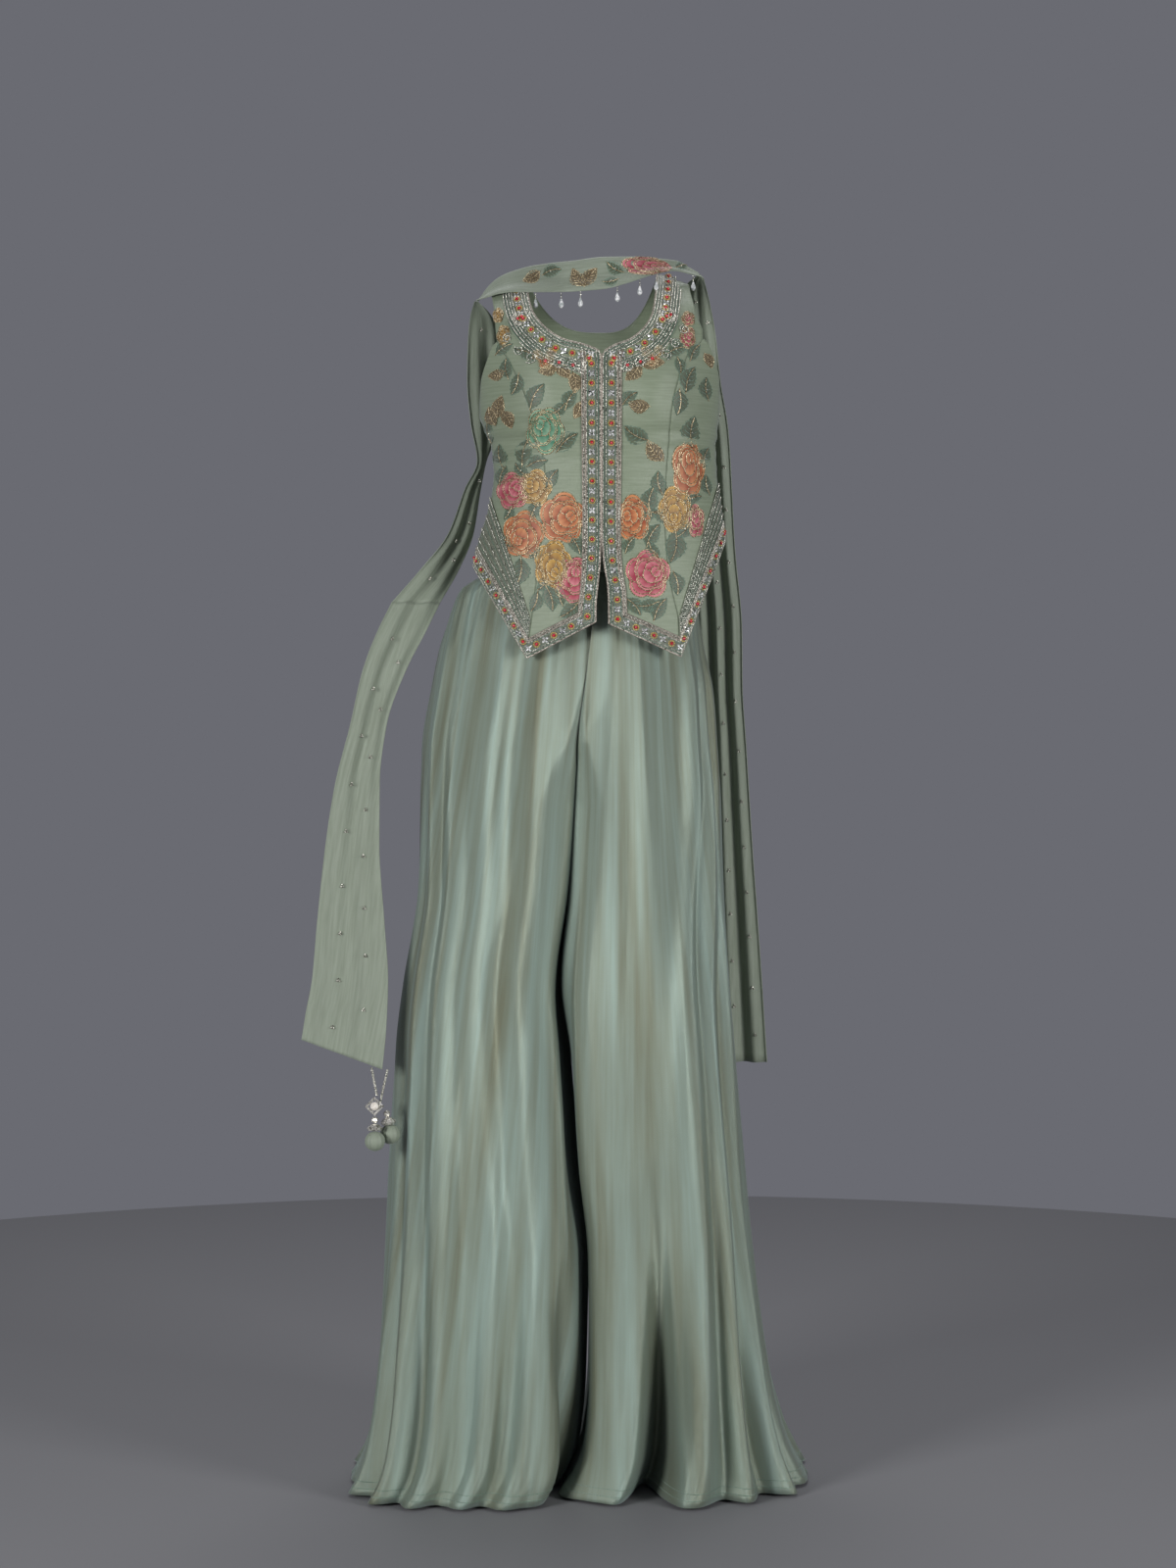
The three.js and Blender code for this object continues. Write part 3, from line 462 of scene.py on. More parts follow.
def gems(name, centres, normals, along, length, width, material):
    """One mesh of pointed oval stones, cut to a ridge and lying flat on the cloth."""
    centres = np.asarray(centres).reshape(-1, 3)
    along = unit(np.asarray(along).reshape(-1, 3))
    normals = unit(np.asarray(normals).reshape(-1, 3))
    across = np.cross(normals, along)
    shape = [(-1, 0, 0), (-0.4, -1, 0), (0.4, -1, 0), (1, 0, 0), (0.4, 1, 0), (-0.4, 1, 0),
             (-0.45, 0, 1), (0.45, 0, 1), (0, 0, -0.2)]
    faces = [(0, 1, 6), (1, 2, 7, 6), (2, 3, 7), (3, 4, 7), (4, 5, 6, 7), (5, 0, 6)]
    faces += [(b, a, 8) for a, b in ((0, 1), (1, 2), (2, 3), (3, 4), (4, 5), (5, 0))]
    points = [centres + along * (a * length / 2 * MM) + across * (b * width / 2 * MM)
              + normals * (c * width * 0.4 * MM) for a, b, c in shape]
    points = np.stack(points, 1)
    all_faces = [[v + 9 * i for v in face] for i in range(len(centres)) for face in faces]
    return show(name, points, all_faces, material, flat=True)


def lengths_along(line):
    """The length from the first point of a line to each of its points."""
    return np.linalg.norm(np.diff(line, axis=0, prepend=line[:1]), axis=1).cumsum()


# A rope is thicker and thinner by this share along its twist, and a cord's ends shrink to a tip.
ROPE_RELIEF = 0.25
CORD_TIP = 0.3


def cords(name, lines, radius, material, sides=5, twist=0.0):
    """One mesh of couched cords along lines of points and normals; twist gives a roped outline."""
    points, faces, first = [], [], 0
    for line, normal in lines:
        tangent = unit(np.gradient(line, axis=0))
        across = unit(np.cross(tangent, normal))
        lift = np.cross(across, tangent)
        rope = ROPE_RELIEF * np.sin(2 * math.pi * lengths_along(line) / (twist * MM)) if twist else 0.0
        thick = radius * (1 + rope) * np.ones(len(line))
        thick[[0, -1]] *= CORD_TIP
        for i in range(sides):
            angle = 2 * math.pi * i / sides
            points.append(line + (lift * math.cos(angle) + across * math.sin(angle)) * thick[:, None] * MM)
        count = len(line)
        ring = first + np.arange(sides)[:, None] * count + np.arange(count)[None]
        beside = np.roll(ring, -1, 0)
        faces.append(np.stack([ring[:, :-1], ring[:, 1:], beside[:, 1:], beside[:, :-1]], -1).reshape(-1, 4))
        first += sides * count
    return show(name, np.concatenate(points), np.concatenate(faces), material)


# The cloth that is being embroidered: first the vest, later the stole.
surface = vest_skin


def raised(x, height, out):
    """Points a given number of millimetres in front of the cloth that is being embroidered."""
    point, normal = surface(x, height)
    return point + normal * np.asarray(out)[..., None] * MM


def spaced(line, pitch):
    """Flat places along a flat line, evenly spaced over the cloth."""
    total = lengths_along(raised(line[:, 0], line[:, 1], 0.0))
    count = max(2, int(round(total[-1] / (pitch * MM))) + 1)
    at = np.linspace(0, total[-1], count)
    return np.stack([np.interp(at, total, line[:, 0]), np.interp(at, total, line[:, 1])], -1)


def laid(line, out, pitch=1.6):
    """Points and normals of a flat line, laid a little in front of the cloth."""
    line = spaced(line, pitch)
    point, normal = surface(line[:, 0], line[:, 1])
    return point + normal * out * MM, normal


def mottled(name, dark, light, grain, roughness, metallic=0.0, relief=0.15, **sockets):
    """Two shades in fine mottling, with a little relief; grain in millimetres. On beads, stones and cut glass
    the pale mottle is painted glint and the dark mottle painted shade.
    """
    material, shader = new_material(name)
    places = add_node(material, "ShaderNodeTexCoord").outputs["Object"]
    noise = add_node(material, "ShaderNodeTexNoise", {"Vector": places}, Scale=1 / (grain * MM), Detail=3.0)
    spread = add_node(material, "ShaderNodeMapRange", {0: noise.outputs[0]}, From_Min=0.42, From_Max=0.58)
    colour = add_node(material, "ShaderNodeMix", {0: spread.outputs[0]}, data_type="RGBA")
    colour.inputs[6].default_value = linear(dark)
    colour.inputs[7].default_value = linear(light)
    bump = add_node(material, "ShaderNodeBump", {"Height": noise.outputs[0]}, Strength=relief,
                    Distance=0.0002)
    material.node_tree.links.new(colour.outputs[2], shader.inputs["Base Color"])
    material.node_tree.links.new(bump.outputs[0], shader.inputs["Normal"])
    set_sockets(shader, Roughness=roughness, Metallic=metallic, **sockets)
    return material


# Vest borders: narrow bands of zardozi, which is metal thread and beads couched on a firm net. They
# are sewn along the front edges, the pointed hems and the neckline, over the silk.
# Silver-lined beads glitter, partly by their metal and partly by painted glints, antique gold wire is duller,
# and the stones are foil-backed glass. Silk thread has a soft sheen, and the mauve cord a little metal wound
# with it. Each finish is mottled at about the size of one bead: its pale patches are painted glints and its
# dark ones painted shade, so that neighbours look lit differently; the net's mesh is 1.1 mm.
zardozi_net = woven("zardozi_net", "#50564a", "#7b806e", streak=(2, 2), thread=1.1, roughness=0.5,
                    sheen=0.2, sheen_colour="#ffffff", bump=0.6)
# The silver beads' near-white mottle is painted glint, and their grey mottle painted shade.
silver_beads = mottled("silver_lined_beads", "#55564b", "#f6f3e6", grain=1.6, roughness=0.2, metallic=0.45)
antique_wire = mottled("antique_gold_wire", "#5c4729", "#dccba6", grain=1.3, roughness=0.34, metallic=0.45)
green_thread = mottled("sage_silk_thread", "#34503f", "#70907c", grain=1.0, roughness=0.55, Sheen_Weight=0.4)
piping_cord = mottled("mauve_piping_cord", "#6b6259", "#b5ab9f", grain=1.3, roughness=0.45, metallic=0.3)
red_stone = mottled("red_glass_stone", "#8e0f20", "#d8303c", grain=1.5, roughness=0.12, Coat_Weight=0.6)
yellow_beads = mottled("yellow_glass_beads", "#b98f28", "#efd272", grain=1.2, roughness=0.2, Coat_Weight=0.4)
# The clear stones' white mottle is painted reflection, and their near-black mottle painted shade.
clear_stone = mottled("foiled_clear_stone", "#20262a", "#ffffff", grain=1.7, roughness=0.08, metallic=0.2)

BORDER_WIDTH = 22.0
BORDER_LIFT = 1.3
ROW_TALL = {"princess": 21.5, "side": 35.0}


def front_reach(side, rows):
    """The flat width of the centre front at some rows, from the front edge to the princess seam."""
    edge = front_seams[side]
    reach = np.hypot(edge["princess_x"] - edge["centre_x"], edge["princess_height"] - edge["centre_height"])
    return np.interp(rows, np.arange(len(reach)), reach)


def border_line(side, depth, high=11.0):
    """A flat line a given depth in from the front edge and the hem: down, across and up the side."""
    down = np.linspace(high, depth / ROW_TALL["princess"], 130)
    over = np.linspace(0, 1, 50)[1:]
    up = np.linspace(0, 1, 60)[1:]
    share = depth / front_reach(side, down)
    parts = [between(side, "centre", "princess", down, share)]
    parts.append(between(side, "centre", "princess", np.full(len(over), down[-1]), mix(share[-1], 1.0, over)))
    parts.append(between(side, "princess", "side", depth / mix(*ROW_TALL.values(), up), up))
    return np.stack([np.concatenate([p[i] for p in parts]) for i in (0, 1)], -1)


def neck_line(side, depth, low=11.3, high=17.0):
    """A flat line a given depth in from the neckline, from centre front up the strap."""
    rows = np.linspace(low, high, 90)
    share = np.minimum(depth / front_reach(side, rows), 0.97)
    return np.stack(between(side, "centre", "princess", rows, share), -1)


def neck_offset(side, depth, high=17.0):
    """A flat line at one distance from the neckline all the way, from centre front up the strap."""
    line = neck_line(side, 0.3, 11.0, high)
    ahead = np.gradient(line, axis=0)
    return line + depth * side * unit(np.stack([ahead[:, 1], -ahead[:, 0]], -1))


def side_line(side, share_in):
    """A flat line in the beaded corner of the side panel, from the border (0) to its inner edge (1)."""
    up = np.linspace(0.01, 0.99, 60)
    first = (BORDER_WIDTH + 1) / mix(*ROW_TALL.values(), up)
    return np.stack(between(side, "princess", "side", mix(first, 2.0, share_in), up), -1)


def border_cloth(name, lines, node):
    """The firm net under the beads, as thick as its padding, from a fan of flat lines."""
    flat = np.stack(lines)
    point, normal = surface(flat[..., 0], flat[..., 1])
    piece = cloth(name, point + normal * BORDER_LIFT * MM, normal, 0.9, zardozi_net, flat * MM)
    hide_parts(node)


bead_places = {"silver": [], "yellow": [], "red": []}
cord_lines = {"green": [], "piping": [], "wire": []}
stone_places = []
STONE_PITCH = 11.7
FLOWER = dict(centre=2.3, ring=3.3, seeds=10, seed=0.85)
CROSS_REACH = 2.82


def bead_row(line, out=1.9, pitch=1.9, kind="silver"):
    """A row of beads sewn along a flat line, a pitch apart."""
    places = spaced(line, pitch)
    bead_places[kind].extend(raised(places[:, 0], places[:, 1], out))


def small_flower(x, height, out=1.6):
    """A red stone in a ring of yellow seed beads."""
    bead_places["red"].append(raised(x, height, out + 0.5))
    turns = np.arange(FLOWER["seeds"]) * 2 * math.pi / FLOWER["seeds"]
    bead_places["yellow"].extend(raised(x + FLOWER["ring"] * np.cos(turns),
                                         height + FLOWER["ring"] * np.sin(turns), out))


def crystal_cross(x, height):
    """Four pointed stones round one place."""
    for quarter in range(4):
        angle = math.pi / 4 + quarter * math.pi / 2
        reach = CROSS_REACH
        at = (x + reach * math.cos(angle), height + reach * math.sin(angle))
        point, normal = surface(*at)
        tip = surface(x + 2 * reach * math.cos(angle), height + 2 * reach * math.sin(angle))[0]
        stone_places.append((point + normal * 1.5 * MM, normal, tip - point))


# Rows of one border, by their depth in from the edge, and rows of the neck, with how far up they run.
BORDER_ROWS = dict(beads=(0.9, 4.6, 17.2, 20.9), threads=(2.8, 6.2, 15.6), piping=(-0.6, 19.0, 22.6))
BORDER_STONES = 10.9
NECK_BEADS = ((1.0, 17), (4.2, 17), (7.6, 17), (19.6, 17), (22.6, 17), (26.0, 16.6), (29.6, 16.4),
              (33.4, 14.2))
NECK_THREADS = ((2.6, 17), (5.9, 17), (21.1, 17), (24.3, 16.6), (27.8, 16.4), (31.5, 15))
NECK_STONES = 13.6
NECK_STONE_PITCH = 10.5
for side, name in side_name.items():
    lines = [border_line(side, depth) for depth in np.linspace(0.3, BORDER_WIDTH, 8)]
    border_cloth(f"vest_front_border_net_{name}", lines, f"vest_front_border_{name}")
    lines = [neck_line(side, depth, 12.0) for depth in np.linspace(0.3, BORDER_WIDTH, 8)]
    border_cloth(f"vest_neck_border_net_{name}", lines, f"vest_neck_border_{name}")
    lines = [side_line(side, share) for share in np.linspace(0, 1, 12)]
    border_cloth(f"vest_side_border_net_{name}", lines, f"vest_side_border_{name}")
    for depth in BORDER_ROWS["beads"]:
        bead_row(border_line(side, depth))
    for depth in BORDER_ROWS["threads"]:
        cord_lines["green"].append(laid(border_line(side, depth), 1.7))
    for depth in BORDER_ROWS["piping"]:
        cord_lines["piping"].append(laid(border_line(side, depth), 1.5))
    for number, (x, height) in enumerate(spaced(border_line(side, BORDER_STONES, 10.6), STONE_PITCH)):
        (small_flower if number % 2 else crystal_cross)(x, height)
    for number, share in enumerate(np.linspace(0.03, 0.98, 11)):
        if number % 2 == 0:
            bead_row(side_line(side, share), pitch=2.3)
        else:
            cord_lines["green"].append(laid(side_line(side, share), 1.4))
    for depth, high in NECK_BEADS:
        bead_row(neck_offset(side, depth, high)[3:], out=1.3)
    for depth, high in NECK_THREADS:
        cord_lines["green"].append(laid(neck_offset(side, depth, high)[3:], 1.2))
    cord_lines["piping"].append(laid(neck_offset(side, -0.5), 1.0))
    for number, (x, height) in enumerate(spaced(neck_offset(side, NECK_STONES)[8:], NECK_STONE_PITCH)):
        (crystal_cross if number % 2 else small_flower)(x, height)

# Roses and leaves: painted petals of silk thread, outlined in couched gold wire with a beaded edge.
# Each rose is four rings of scalloped petals set off towards one side, each leaf has serrated edges.
# Each ring has its size and its number of petals. Each palette is a dark and a light thread: rose red,
# gold, orange and mint for the roses, leaf green and bark brown for the leaves.
PETAL_RINGS = ((1.00, 5), (0.72, 4), (0.46, 3), (0.22, 2))
SCALLOP = 0.20
RING_TURN = 0.7
RING_OFFSET = 0.12
RING_LIFT = 0.22
rose_threads = (("#a52c44", "#e58e96"), ("#8c5f17", "#dcae50"), ("#a14a24", "#e3985f"),
                ("#3f8466", "#9dc0a0"))
leaf_threads = (("#323f30", "#6f7a60"), ("#4a3f29", "#84775a"))
# A leaf's sizes are shares of its length.
LEAF = dict(half_width=0.30, bend=0.10, serration=0.13, teeth=7, veins=(0.22, 0.38, 0.54, 0.70),
            vein_length=0.16)
ROSE_SIZE = 1.36
LEAF_SIZE = 1.58
roses = table(
    "x height radius tall turn palette",
    (-106, 1206, 15, 1.15, 0.5, 0), (-79, 1209, 15, 1.1, 2.6, 1), (-46, 1172, 21, 1.1, 0.2, 2),
    (-93, 1153, 19, 1.15, 3.9, 2), (-58, 1117, 17, 1.3, 5.1, 1), (-34, 1098, 17, 1.25, 1.1, 0),
    (-67, 1276, 17, 1.2, 2.3, 3), (104, 1232, 15, 1.8, 1.4, 2), (88, 1183, 15, 1.4, 4.4, 1),
    (38, 1172, 16, 1.3, 2.9, 2), (55, 1105, 20, 1.1, 0.3, 0), (113, 1170, 8, 1.9, 1.7, 0),
    (103, 1389, 7, 1.5, 0.8, 0), (-117, 1392, 6, 1.6, 2.0, 1))
leaves = table(
    "x height length turn palette",
    (-64, 1349, 15, 200, 1), (-46, 1344, 15, 320, 1), (-33, 1331, 16, 275, 1), (-126, 1346, 13, 190, 1),
    (-131, 1297, 15, 110, 1), (-121, 1307, 16, 80, 1), (-113, 1290, 15, 300, 1), (-29, 1299, 13, 250, 1),
    (-112, 1352, 16, 95, 0), (-103, 1331, 17, 250, 0), (-116, 1375, 15, 30, 0), (-87, 1366, 18, 330, 0),
    (-76, 1316, 21, 60, 0), (-36, 1312, 17, 60, 0), (-52, 1301, 14, 215, 0), (-135, 1279, 15, 100, 0),
    (-120, 1249, 19, 100, 0), (-90, 1252, 21, 75, 0), (-76, 1238, 16, 15, 0), (-40, 1262, 21, 40, 0),
    (-58, 1219, 17, 60, 0), (-99, 1108, 22, 260, 0), (-80, 1072, 16, 250, 0), (-62, 1076, 20, 285, 0),
    (-38, 1064, 20, 220, 0), (-112, 1180, 12, 240, 0), (37, 1345, 17, 230, 1), (62, 1354, 17, 10, 1),
    (128, 1362, 12, 300, 1), (44, 1306, 16, 170, 1), (64, 1253, 19, 130, 1), (91, 1372, 17, 20, 0),
    (112, 1371, 15, 60, 0), (92, 1353, 13, 280, 0), (106, 1338, 21, 70, 0), (127, 1329, 17, 95, 0),
    (91, 1309, 19, 265, 0), (34, 1313, 15, 40, 0), (41, 1273, 21, 150, 0), (110, 1277, 23, 85, 0),
    (126, 1247, 17, 75, 0), (60, 1194, 21, 80, 0), (62, 1152, 20, 60, 0), (85, 1138, 25, 260, 0),
    (38, 1066, 17, 310, 0), (70, 1064, 19, 60, 0), (128, 1215, 15, 100, 0), (62, 1135, 15, 120, 0),
    (70, 1215, 18, 100, 0), (74, 1172, 17, 330, 0), (58, 1176, 16, 20, 0), (98, 1160, 17, 230, 0),
    (110, 1196, 15, 20, 0), (-78, 1182, 15, 60, 0), (-116, 1140, 16, 250, 0), (-32, 1140, 17, 300, 0),
    (-80, 1132, 14, 200, 0), (-118, 1226, 16, 70, 0), (-70, 1094, 14, 230, 0), (34, 1140, 14, 60, 0),
    (88, 1094, 18, 280, 0), (-96, 1232, 14, 130, 0), (-48, 1080, 15, 100, 0), (54, 1070, 16, 190, 0))
petal_points, petal_faces, petal_colours = [], [], []


def painted_strip(flat, out, dark, light, shade):
    """One strip of painted thread from a grid of flat places, with a shade from 0 to 1 at each."""
    first = sum(len(part) for part in petal_points)
    rows, columns = flat.shape[:2]
    lift = np.broadcast_to(out, (rows, columns))
    petal_points.append(raised(flat[..., 0], flat[..., 1], lift).reshape(-1, 3))
    number = first + np.arange(rows * columns).reshape(rows, columns)
    quads = np.stack([number[:-1, :-1], number[:-1, 1:], number[1:, 1:], number[1:, :-1]], -1)
    petal_faces.append(quads.reshape(-1, 4))
    colour = mix(np.array(linear(dark)), np.array(linear(light)), np.clip(shade, 0, 1)[..., None])
    petal_colours.append(np.broadcast_to(colour, (rows, columns, 4)).reshape(-1, 4))


def add_rose(x, height, radius, tall, turn, palette):
    """One rose: rings of painted petals, each outlined and parted in couched gold wire."""
    dark, light = rose_threads[int(palette)]
    radius *= ROSE_SIZE
    angle = np.linspace(0, 2 * math.pi, 55)

    def edge(ring, theta):
        size, petals = PETAL_RINGS[ring]
        wave = np.abs(np.cos(petals * (theta - turn - RING_TURN * ring) / 2)) ** 0.7
        offset = RING_OFFSET * ring
        size = size * mix(1 - SCALLOP, 1.0, wave)
        flat_x = size * np.cos(theta) + offset * math.cos(turn)
        flat_y = size * np.sin(theta) + offset * math.sin(turn)
        return np.stack([x + radius * flat_x, height + radius * tall * flat_y], -1)

    for ring, (size, petals) in enumerate(PETAL_RINGS):
        outer = edge(ring, angle)
        last = ring == len(PETAL_RINGS) - 1
        middle = np.broadcast_to(outer.mean(0), outer.shape)
        inner = middle if last else edge(ring + 1, angle)
        share = np.linspace(0, 1, 5)[:, None]
        flat = mix(inner[None], outer[None], share[..., None])
        fan = np.abs(np.sin(petals * (angle - turn - RING_TURN * ring) / 2))
        painted_strip(flat, 0.30 + RING_LIFT * ring + 0.25 * np.sin(math.pi * share), dark, light,
                      0.15 + 0.85 * share ** 1.4 - 0.35 * fan[None] ** 6 + 0.12 * np.sin(9 * angle)[None])
        cord_lines["wire"].append(laid(outer, 0.45 + RING_LIFT * ring))
        for petal in range(petals):
            theta = turn + RING_TURN * ring + (2 * petal + 1) * math.pi / petals
            foot = middle[:1] if last else edge(ring + 1, np.array([theta + 0.3]))
            bent = mix(edge(ring, np.array([theta])), foot, np.linspace(0.02, 0.95, 8)[:, None])
            cord_lines["wire"].append(laid(bent, 0.5 + RING_LIFT * ring))
        if ring in (0, 1):
            cord_lines["wire"].append(laid(mix(outer, middle, 0.13), 0.6 + RING_LIFT * ring))


def add_leaf(x, height, length, turn, palette):
    """One leaf: a painted blade with serrated edges, wired edges and side veins, and a gold rib."""
    dark, light = leaf_threads[int(palette)]
    length *= LEAF_SIZE
    angle = math.radians(turn)
    ahead = np.array([math.cos(angle), math.sin(angle)])
    beside = np.array([-math.sin(angle), math.cos(angle)])
    t = np.linspace(0, 1, 25)
    serrated = 1 + LEAF["serration"] * np.sin(2 * LEAF["teeth"] * math.pi * t)
    half = LEAF["half_width"] * np.sin(math.pi * t ** 0.85) * serrated
    bend = LEAF["bend"] * np.sin(math.pi * t)

    def flat(along, out):
        centre = np.array([x, height]) + length * (np.multiply.outer(along - 0.5, ahead))
        return centre + length * np.multiply.outer(out, beside)

    share = np.linspace(-1, 1, 7)[:, None]
    grid = np.stack([flat(t, bend + s * half) for s in share[:, 0]])
    painted_strip(grid, 0.25 + 0.3 * (1 - share ** 2), dark, light, 0.25 + 0.6 * np.abs(share) + 0 * t)
    wire = "wire" if palette else "green"
    for edge_side in (-1, 1):
        cord_lines[wire].append(laid(flat(t, bend + edge_side * half), 0.4))
        for start in LEAF["veins"]:
            vein = np.linspace(start, start + LEAF["vein_length"], 6)
            rise = np.interp(vein, t, half) * np.linspace(0.05, 0.85, 6)
            cord_lines[wire].append(laid(flat(vein, np.interp(vein, t, bend) + edge_side * rise), 0.6))
    rib = np.linspace(-0.08, 0.97, 12)
    cord_lines["wire"].append(laid(flat(rib, np.interp(rib, t, bend)), 0.7))
    tip = flat(np.array([0.45]), np.array([0.05]))[0]
    if not palette:
        bead_places["silver"].append(raised(tip[0], tip[1], 1.0))


for row in zip(*roses.values()):
    add_rose(*row)
for row in zip(*leaves.values()):
    add_leaf(*row)


def curl(x, height, radius, turn, rounds=1.6):
    """A scroll of silver beads with a green thread beside it, wound inward from its tail."""
    angle = np.linspace(0, rounds * 2 * math.pi, 60)
    size = radius * (1 - angle / angle[-1]) ** 0.7
    line = np.stack([x + size * np.cos(angle + turn), height + size * np.sin(angle + turn)], -1)
    bead_row(line, out=1.3)
    cord_lines["green"].append(laid(mix(line, np.array([x, height]), 0.16), 1.0))


def paisley(x, height, size, turn):
    """A drop in rings of silver beads round two red stones, with a few yellow beads at its neck."""
    angle = np.linspace(0, 2 * math.pi, 60)
    for share, kind in ((1.0, "silver"), (0.84, "silver"), (0.66, "silver"), (0.34, "yellow")):
        reach = share * size * (1 + 0.55 * np.maximum(0, np.cos(angle)) ** 3)
        line = np.stack([x + reach * np.cos(angle + turn), height + reach * np.sin(angle + turn)], -1)
        bead_row(line, out=1.4, kind=kind)
    cord_lines["green"].append(laid(mix(line, np.array([x, height]), -0.5), 1.2))
    for red in (-0.25, 0.25):
        bead_places["red"].append(raised(x + red * size, height + 0.5 * red * size, 2.2))


# Neck motifs: scrolls, flower sprays and a paisley on each side, heaviest beside the front opening. They
# are worked on the silk along the neck border, in seed beads, silk thread and red stones.
neck_scrolls = table(
    "x height radius turn",
    (-34, 1352, 8, 0.5), (-50, 1355, 7, 2.0), (-22, 1350, 6, 1.0), (-84, 1362, 7, 4.0), (-98, 1372, 6, 2.4),
    (31, 1352, 8, 2.6), (46, 1356, 7, 1.0), (19, 1350, 6, 2.2), (76, 1366, 7, 5.0), (88, 1380, 6, 0.7),
    (-112, 1388, 6, 1.0), (99, 1398, 6, 2.0))
neck_sprays = table(
    "x height radius tall turn palette",
    (-66, 1357, 7, 1.0, 0.2, 2), (-76, 1366, 5, 1.0, 1.4, 1), (-60, 1367, 5, 1.0, 3.0, 2),
    (60, 1360, 7, 1.0, 0.9, 2), (68, 1371, 5, 1.0, 2.2, 1), (53, 1369, 5, 1.0, 4.0, 2),
    (-124, 1418, 5, 1.5, 0.3, 1), (104, 1412, 6, 1.2, 1.9, 0))
for row in zip(*neck_scrolls.values()):
    curl(*row)
for row in zip(*neck_sprays.values()):
    add_rose(*row)
for x, height in ((-66, 1357), (60, 1360), (-34, 1352), (-50, 1355), (31, 1352), (46, 1356)):
    bead_places["red"].append(raised(x, height, 2.2))
paisley(-97, 1412, 9, 0.6)
paisley(80, 1414, 9, 2.5)

# Painted silk thread: satin stitch in two blended shades, whose fine ribs break up its soft sheen. They
# are drawn at 0.7 mm, coarser than the real 0.2 mm.
RIB = 0.7
painted_thread, shader = new_material("painted_silk_thread")
tint = add_node(painted_thread, "ShaderNodeVertexColor", layer_name="thread_colour")
places = add_node(painted_thread, "ShaderNodeTexCoord").outputs["Object"]
ribs = add_node(painted_thread, "ShaderNodeTexNoise", {"Vector": places}, Scale=1 / (RIB * MM), Detail=2.0)
shades = add_node(painted_thread, "ShaderNodeMix", {6: tint.outputs[0]}, data_type="RGBA",
                  blend_type="MULTIPLY")
shades.inputs[0].default_value = 0.5
painted_thread.node_tree.links.new(ribs.outputs[0], shades.inputs[7])
lift = add_node(painted_thread, "ShaderNodeBump", {"Height": ribs.outputs[0]}, Strength=0.4, Distance=0.0003)
painted_thread.node_tree.links.new(shades.outputs[2], shader.inputs["Base Color"])
painted_thread.node_tree.links.new(lift.outputs[0], shader.inputs["Normal"])
set_sockets(shader, Roughness=0.5, Sheen_Weight=0.3)


# Radii of the wire, the thread, the piping and the seed beads, and the length of one turn of a rope.
WIRE_RADIUS = 0.62
THREAD_RADIUS = 0.42
PIPING_RADIUS = 0.75
SEED_RADIUS = 0.95
ROPE_TURN = 2.4
STONE_LENGTH, STONE_WIDTH = 5.0, 2.7


def stitch_on(name):
    """Makes the painted petals, gold wire, green thread and silver beads embroidered on one cloth, and
    empties all the lists.
    """
    show(f"{name}_painted_petals", np.concatenate(petal_points), np.concatenate(petal_faces),
         painted_thread, tint=np.concatenate(petal_colours))
    cords(f"{name}_gold_wire", cord_lines["wire"], WIRE_RADIUS, antique_wire, sides=4,
          twist=ROPE_TURN)
    cords(f"{name}_green_thread", cord_lines["green"], THREAD_RADIUS, green_thread, sides=4)
    beads(f"{name}_silver_beads", bead_places["silver"], SEED_RADIUS, silver_beads)
    for kept in (petal_points, petal_faces, petal_colours, *cord_lines.values(), *bead_places.values()):
        kept.clear()


cords("vest_piping", cord_lines["piping"], PIPING_RADIUS, piping_cord, twist=ROPE_TURN)
beads("vest_yellow_beads", bead_places["yellow"], FLOWER["seed"], yellow_beads)
beads("vest_red_stones", bead_places["red"], FLOWER["centre"], red_stone)
stitch_on("vest")
stone_at, stone_up, stone_along = (np.array(column) for column in zip(*stone_places))
gems("vest_clear_stones", stone_at, stone_up, stone_along, STONE_LENGTH, STONE_WIDTH, clear_stone)

# Vest back: one plain panel of the same silk satin, cut with a scooped neck and a straight hem. It is
# sewn to the side fronts at the side seams and to the straps on top of the shoulders.
BACK_NECK = dict(centre=1412, x={-1: 90, 1: 68})
BACK_HEM = 1112
BACK_STRAP = 0.62
BACK_GRID = (66, 65)
back_armhole = {
    -1: table("x height", (144, 1328), (132, 1362), (126, 1392), (128, 1424), (134, 1451)),
    1: table("x height", (140, 1330), (126, 1364), (114, 1394), (108, 1428), (107, 1461)),
}
back_edge = {}
for side in side_name:
    heights = front_seams[side]["side_height"][:UNDERARM_ROW + 1]
    edge_x = np.concatenate([half_width(side, heights), back_armhole[side]["x"]])
    edge_height = np.concatenate([heights, back_armhole[side]["height"]])
    numbers = np.arange(len(edge_x), dtype=float)
    back_edge[side] = (smooth(numbers, edge_x), smooth(numbers, edge_height))
last = UNDERARM_ROW + len(back_armhole[1]["x"])
rows, across = np.meshgrid(np.linspace(0, last, BACK_GRID[0]), np.linspace(-1, 1, BACK_GRID[1]),
                           indexing="ij")
x_grid, height_grid = np.zeros_like(rows), np.zeros_like(rows)
